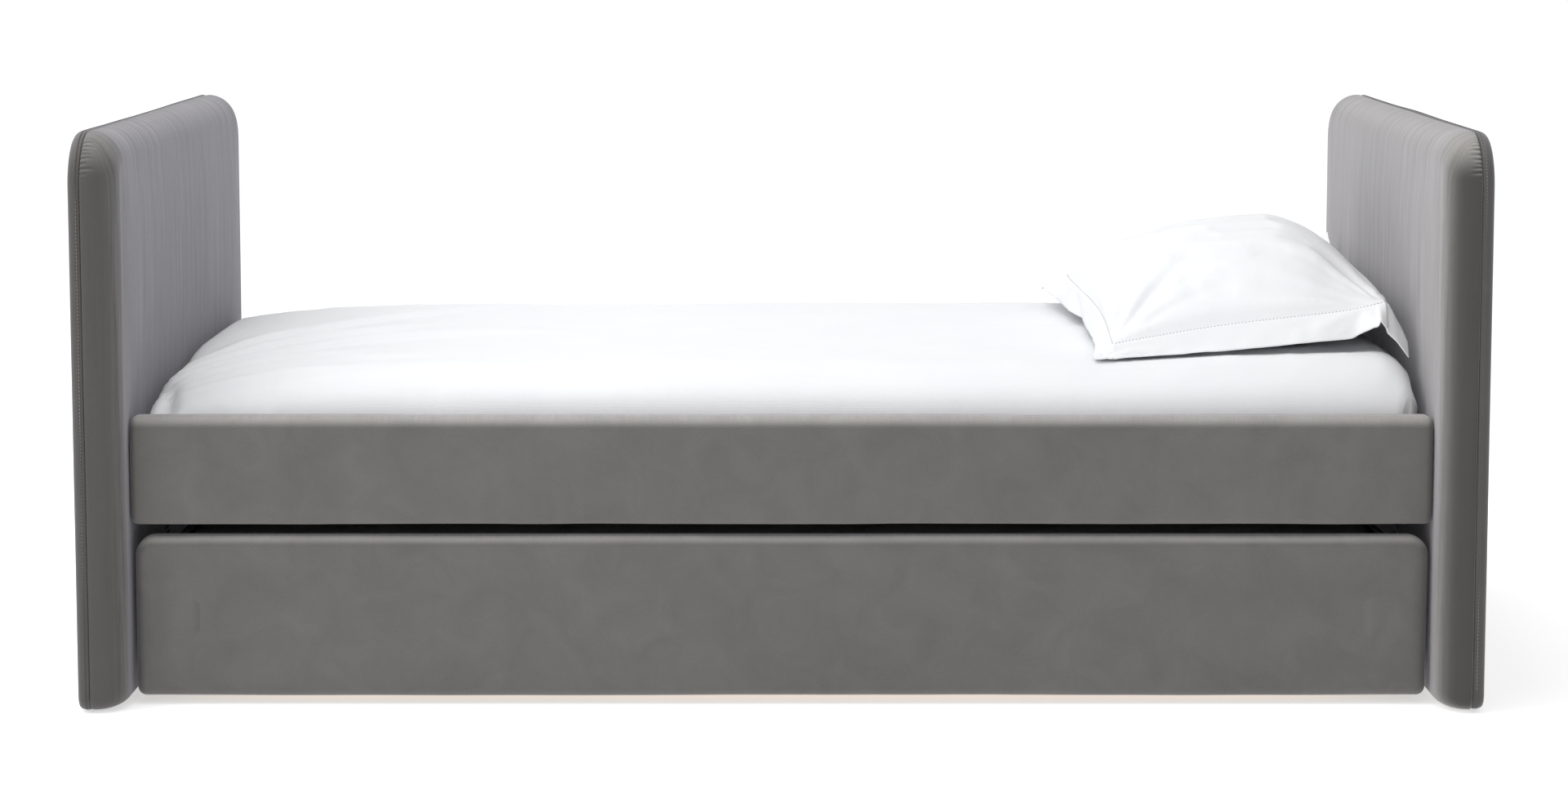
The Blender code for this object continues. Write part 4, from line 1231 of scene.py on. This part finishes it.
def pillow(surfaces):
    flat_a, flat_b, places = pillow_top()
    flat_a, flat_b = finer(flat_a[..., None])[..., 0], finer(flat_b[..., None])[..., 0]
    top = finer(places)
    top = top + grid_normals(top) * pillow_details(flat_a, flat_b)[..., None]
    top[..., 0] = np.minimum(top[..., 0], WALL)
    s, t = seam_shares(flat_a, flat_b)
    body = ((s > 0) & (s < 1) & (t > 0) & (t < 1))[..., None]
    under = top - grid_normals(top) * FLANGE_THICKNESS
    belly = pillow_middle(s, t)
    belly[..., 2] -= 0.085 * pillow_fullness(s, t, 0.45) ** 0.8 + FLANGE_THICKNESS
    floor = bedding_height(belly[..., 0], belly[..., 1]) + 0.0035
    belly[..., 2] = np.maximum(belly[..., 2], floor)
    under = np.where(body, np.minimum(belly, top - [0, 0, 0.001]), under)
    under[..., :2] = np.where(body, belly[..., :2], under[..., :2])
    cloth = np.stack([flat_a, flat_b], axis=-1)
    case = closed_sheet("pillowcase_cloth", top, under, surfaces["cotton"], cloth)
    finish_piece(case, "pillow_set", "white_cotton", "pillowcase", "pillow")
    normals = grid_normals(top)
    row = 2 * len(FLANGE_ROWS) - 1
    there, back = slice(row, -row), slice(-row - 1, row - 1, -1)
    turns = [(there, row), (-row - 1, there), (back, -row - 1), (row, back)]
    path = np.concatenate([top[turn] for turn in turns])
    up = np.concatenate([normals[turn] for turn in turns])
    seam = stitch_row("pillowcase_stitching", path, up, surfaces["cotton_thread"], 0.0006)
    finish_piece(seam, "pillow_set", "white_cotton")


# ---- carried-over CAD nodes --------------------------------------------------------------------
def dress_nodes(surfaces):
    """Gives every CAD node that stays in view its detailed material."""
    chosen = {"mattress": "ticking", "pillow": "ticking", "pillowcase": "cotton", "bed_sheet": "cotton"}
    for end in ENDS:
        chosen[f"{end}_end_board"] = "ply_y"
        chosen[f"trundle_{end}_side"] = "laminate"
        for depth in ("front", "rear"):
            chosen[f"{end}_{depth}_glide"] = "nylon"
            chosen[f"{end}_{depth}_rail_bracket"] = "zinc"
            chosen[f"{end}_{depth}_rail_bolt"] = "zinc"
    for depth in ("front", "back"):
        chosen[f"{depth}_rail_board"] = "ply_x"
        chosen[f"{depth}_slat_ledge"] = "pine_x"
    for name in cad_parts:
        if name.startswith("slat_"):
            chosen[name] = "pine_y"
    chosen["trundle_rear_board"] = "laminate"
    chosen["trundle_front_board"] = "ply_x"
    chosen["trundle_deck"] = "ply_x"
    chosen["trundle_centre_bearer"] = "pine_x"
    for caster in CASTERS:
        chosen[f"caster_{caster}_fork"] = "zinc"
        chosen[f"caster_{caster}_axle"] = "zinc"
        chosen[f"caster_{caster}_wheel"] = "rubber"
    for name, surface in chosen.items():
        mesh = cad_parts[name].data
        mesh.materials.clear()
        mesh.materials.append(surfaces[surface])


# ---- stage -------------------------------------------------------------------------------------
def camera():
    data = bpy.data.cameras.new("camera")
    data.lens = CAMERA_LENS
    data.sensor_width = 36.0
    data.shift_x, data.shift_y = CAMERA_SHIFT
    data.clip_end = 1000.0
    made = bpy.data.objects.new("camera", data)
    made.location = CAMERA_PLACE
    made.rotation_euler = (math.radians(90 - CAMERA_PITCH), 0, 0)
    bpy.context.scene.collection.objects.link(made)
    bpy.context.scene.camera = made


def area_light(name, place, target, size, power):
    data = bpy.data.lights.new(name, "AREA")
    data.shape = "RECTANGLE"
    data.size, data.size_y = size
    data.energy = power
    made = bpy.data.objects.new(name, data)
    made.location = place
    toward = np.array(target, float) - np.array(place, float)
    made.rotation_mode = "QUATERNION"
    made.rotation_quaternion = Vector(toward).to_track_quat("-Z", "Y")
    bpy.context.scene.collection.objects.link(made)


def studio():
    """A white floor and surround, and large soft lights, most of the light coming from above and the left."""
    made, tree, shader = new_material("studio_floor", Roughness=0.9, Specular_IOR_Level=0.0)
    place = place_in_object(tree)
    paint(tree, shader, noise_at(tree, place, 3.0, 3), (0.90, 0.90, 0.90), (0.93, 0.93, 0.93))
    shader.inputs["Emission Color"].default_value = (1.0, 1.0, 1.0, 1.0)
    shader.inputs["Emission Strength"].default_value = FLOOR_GLOW
    corners = [(x * FLOOR_HALF, y * FLOOR_HALF, 0) for x, y in ((-1, -1), (1, -1), (1, 1), (-1, 1))]
    floor = plain_mesh("floor", corners, [(0, 1, 2, 3)])
    floor.data.materials.append(made)
    floor.location.z = -0.0002

    world = bpy.data.worlds.new("studio")
    world.use_nodes = True
    tree = world.node_tree
    background = tree.nodes["Background"]
    background.inputs["Color"].default_value = (1.0, 1.0, 1.0, 1.0)
    # The surround is white to look at, but gives less light than that.
    seen = node(tree, "ShaderNodeLightPath").outputs["Is Camera Ray"]
    inputs = {"Value": seen, "To Min": SURROUND_LIGHT, "To Max": 1.0}
    tree.links.new(node(tree, "ShaderNodeMapRange", inputs).outputs[0], background.inputs["Strength"])
    bpy.context.scene.world = world
    bpy.context.scene.view_settings.view_transform = "Standard"

    for light in LIGHTS:
        area_light(*light)


def build():
    surfaces = {
        # Tones are (broad face, narrow edge, level top). The right end's broad faces are painted much lighter
        # than the left end's, as painted light falling from the left, and the high top tones are painted
        # highlights.
        "velvet_left_end": velvet("velvet_left_end", 1.0, 0.25, (1.07, 0.70, 1.6)),
        "velvet_right_end": velvet("velvet_right_end", 0.6, 0.25, (2.35, 0.56, 2.9)),
        "velvet_back": velvet("velvet_plain", 0.12, 0.45, (0.85, 0.70, 1.2)),
        "velvet_front": velvet("velvet_brushed", 0.22, 0.6, (1.2, 1.12, 3.0)),
        "cotton": cotton(),
        "ticking": ticking(),
        "charcoal": charcoal(),
        "ply_x": timber("plywood_x", 0, (0.62, 0.47, 0.31), (0.46, 0.32, 0.19)),
        "ply_y": timber("plywood_y", 1, (0.62, 0.47, 0.31), (0.46, 0.32, 0.19)),
        "pine_x": timber("pine_x", 0, (0.68, 0.50, 0.31), (0.50, 0.33, 0.17)),
        "pine_y": timber("pine_y", 1, (0.68, 0.50, 0.31), (0.50, 0.33, 0.17)),
        "laminate": laminate(),
        "zinc": zinc(),
        "rubber": rubber(),
        "nylon": nylon(),
        "thread": thread("sewing_thread", (0.20, 0.195, 0.19), (0.36, 0.355, 0.35)),
        # The pillowcase's thread is a real thread, but its grey, darker than the cotton, is painted shade of
        # the crease along the seam, drawn as a dark line.
        "cotton_thread": thread("cotton_thread", (0.28, 0.29, 0.31), (0.40, 0.41, 0.43)),
    }
    dress_nodes(surfaces)
    for name, side in ENDS.items():
        end_panel(name, side, surfaces)
    rail("front", surfaces)
    rail("back", surfaces)
    trundle_front(surfaces)
    names = ("mattress_body", "mattress", "bed", "mattress_ticking")
    shape = {"corner": 0.06, "edge": 0.045, "cord_radius": 0.003}
    mattress_like(*names, surfaces["ticking"], wrinkle=firm_cover, seed=5, ceiling=under_bedding, **shape)
    names = ("trundle_mattress_body", "trundle_mattress", "trundle", "charcoal_cover")
    shape = {"corner": 0.05, "edge": 0.022, "cord_radius": 0.0035}
    mattress_like(*names, surfaces["charcoal"], wrinkle=slack_cover, seed=9, **shape)
    bedding(surfaces)
    pillow(surfaces)
    camera()
    studio()


build()
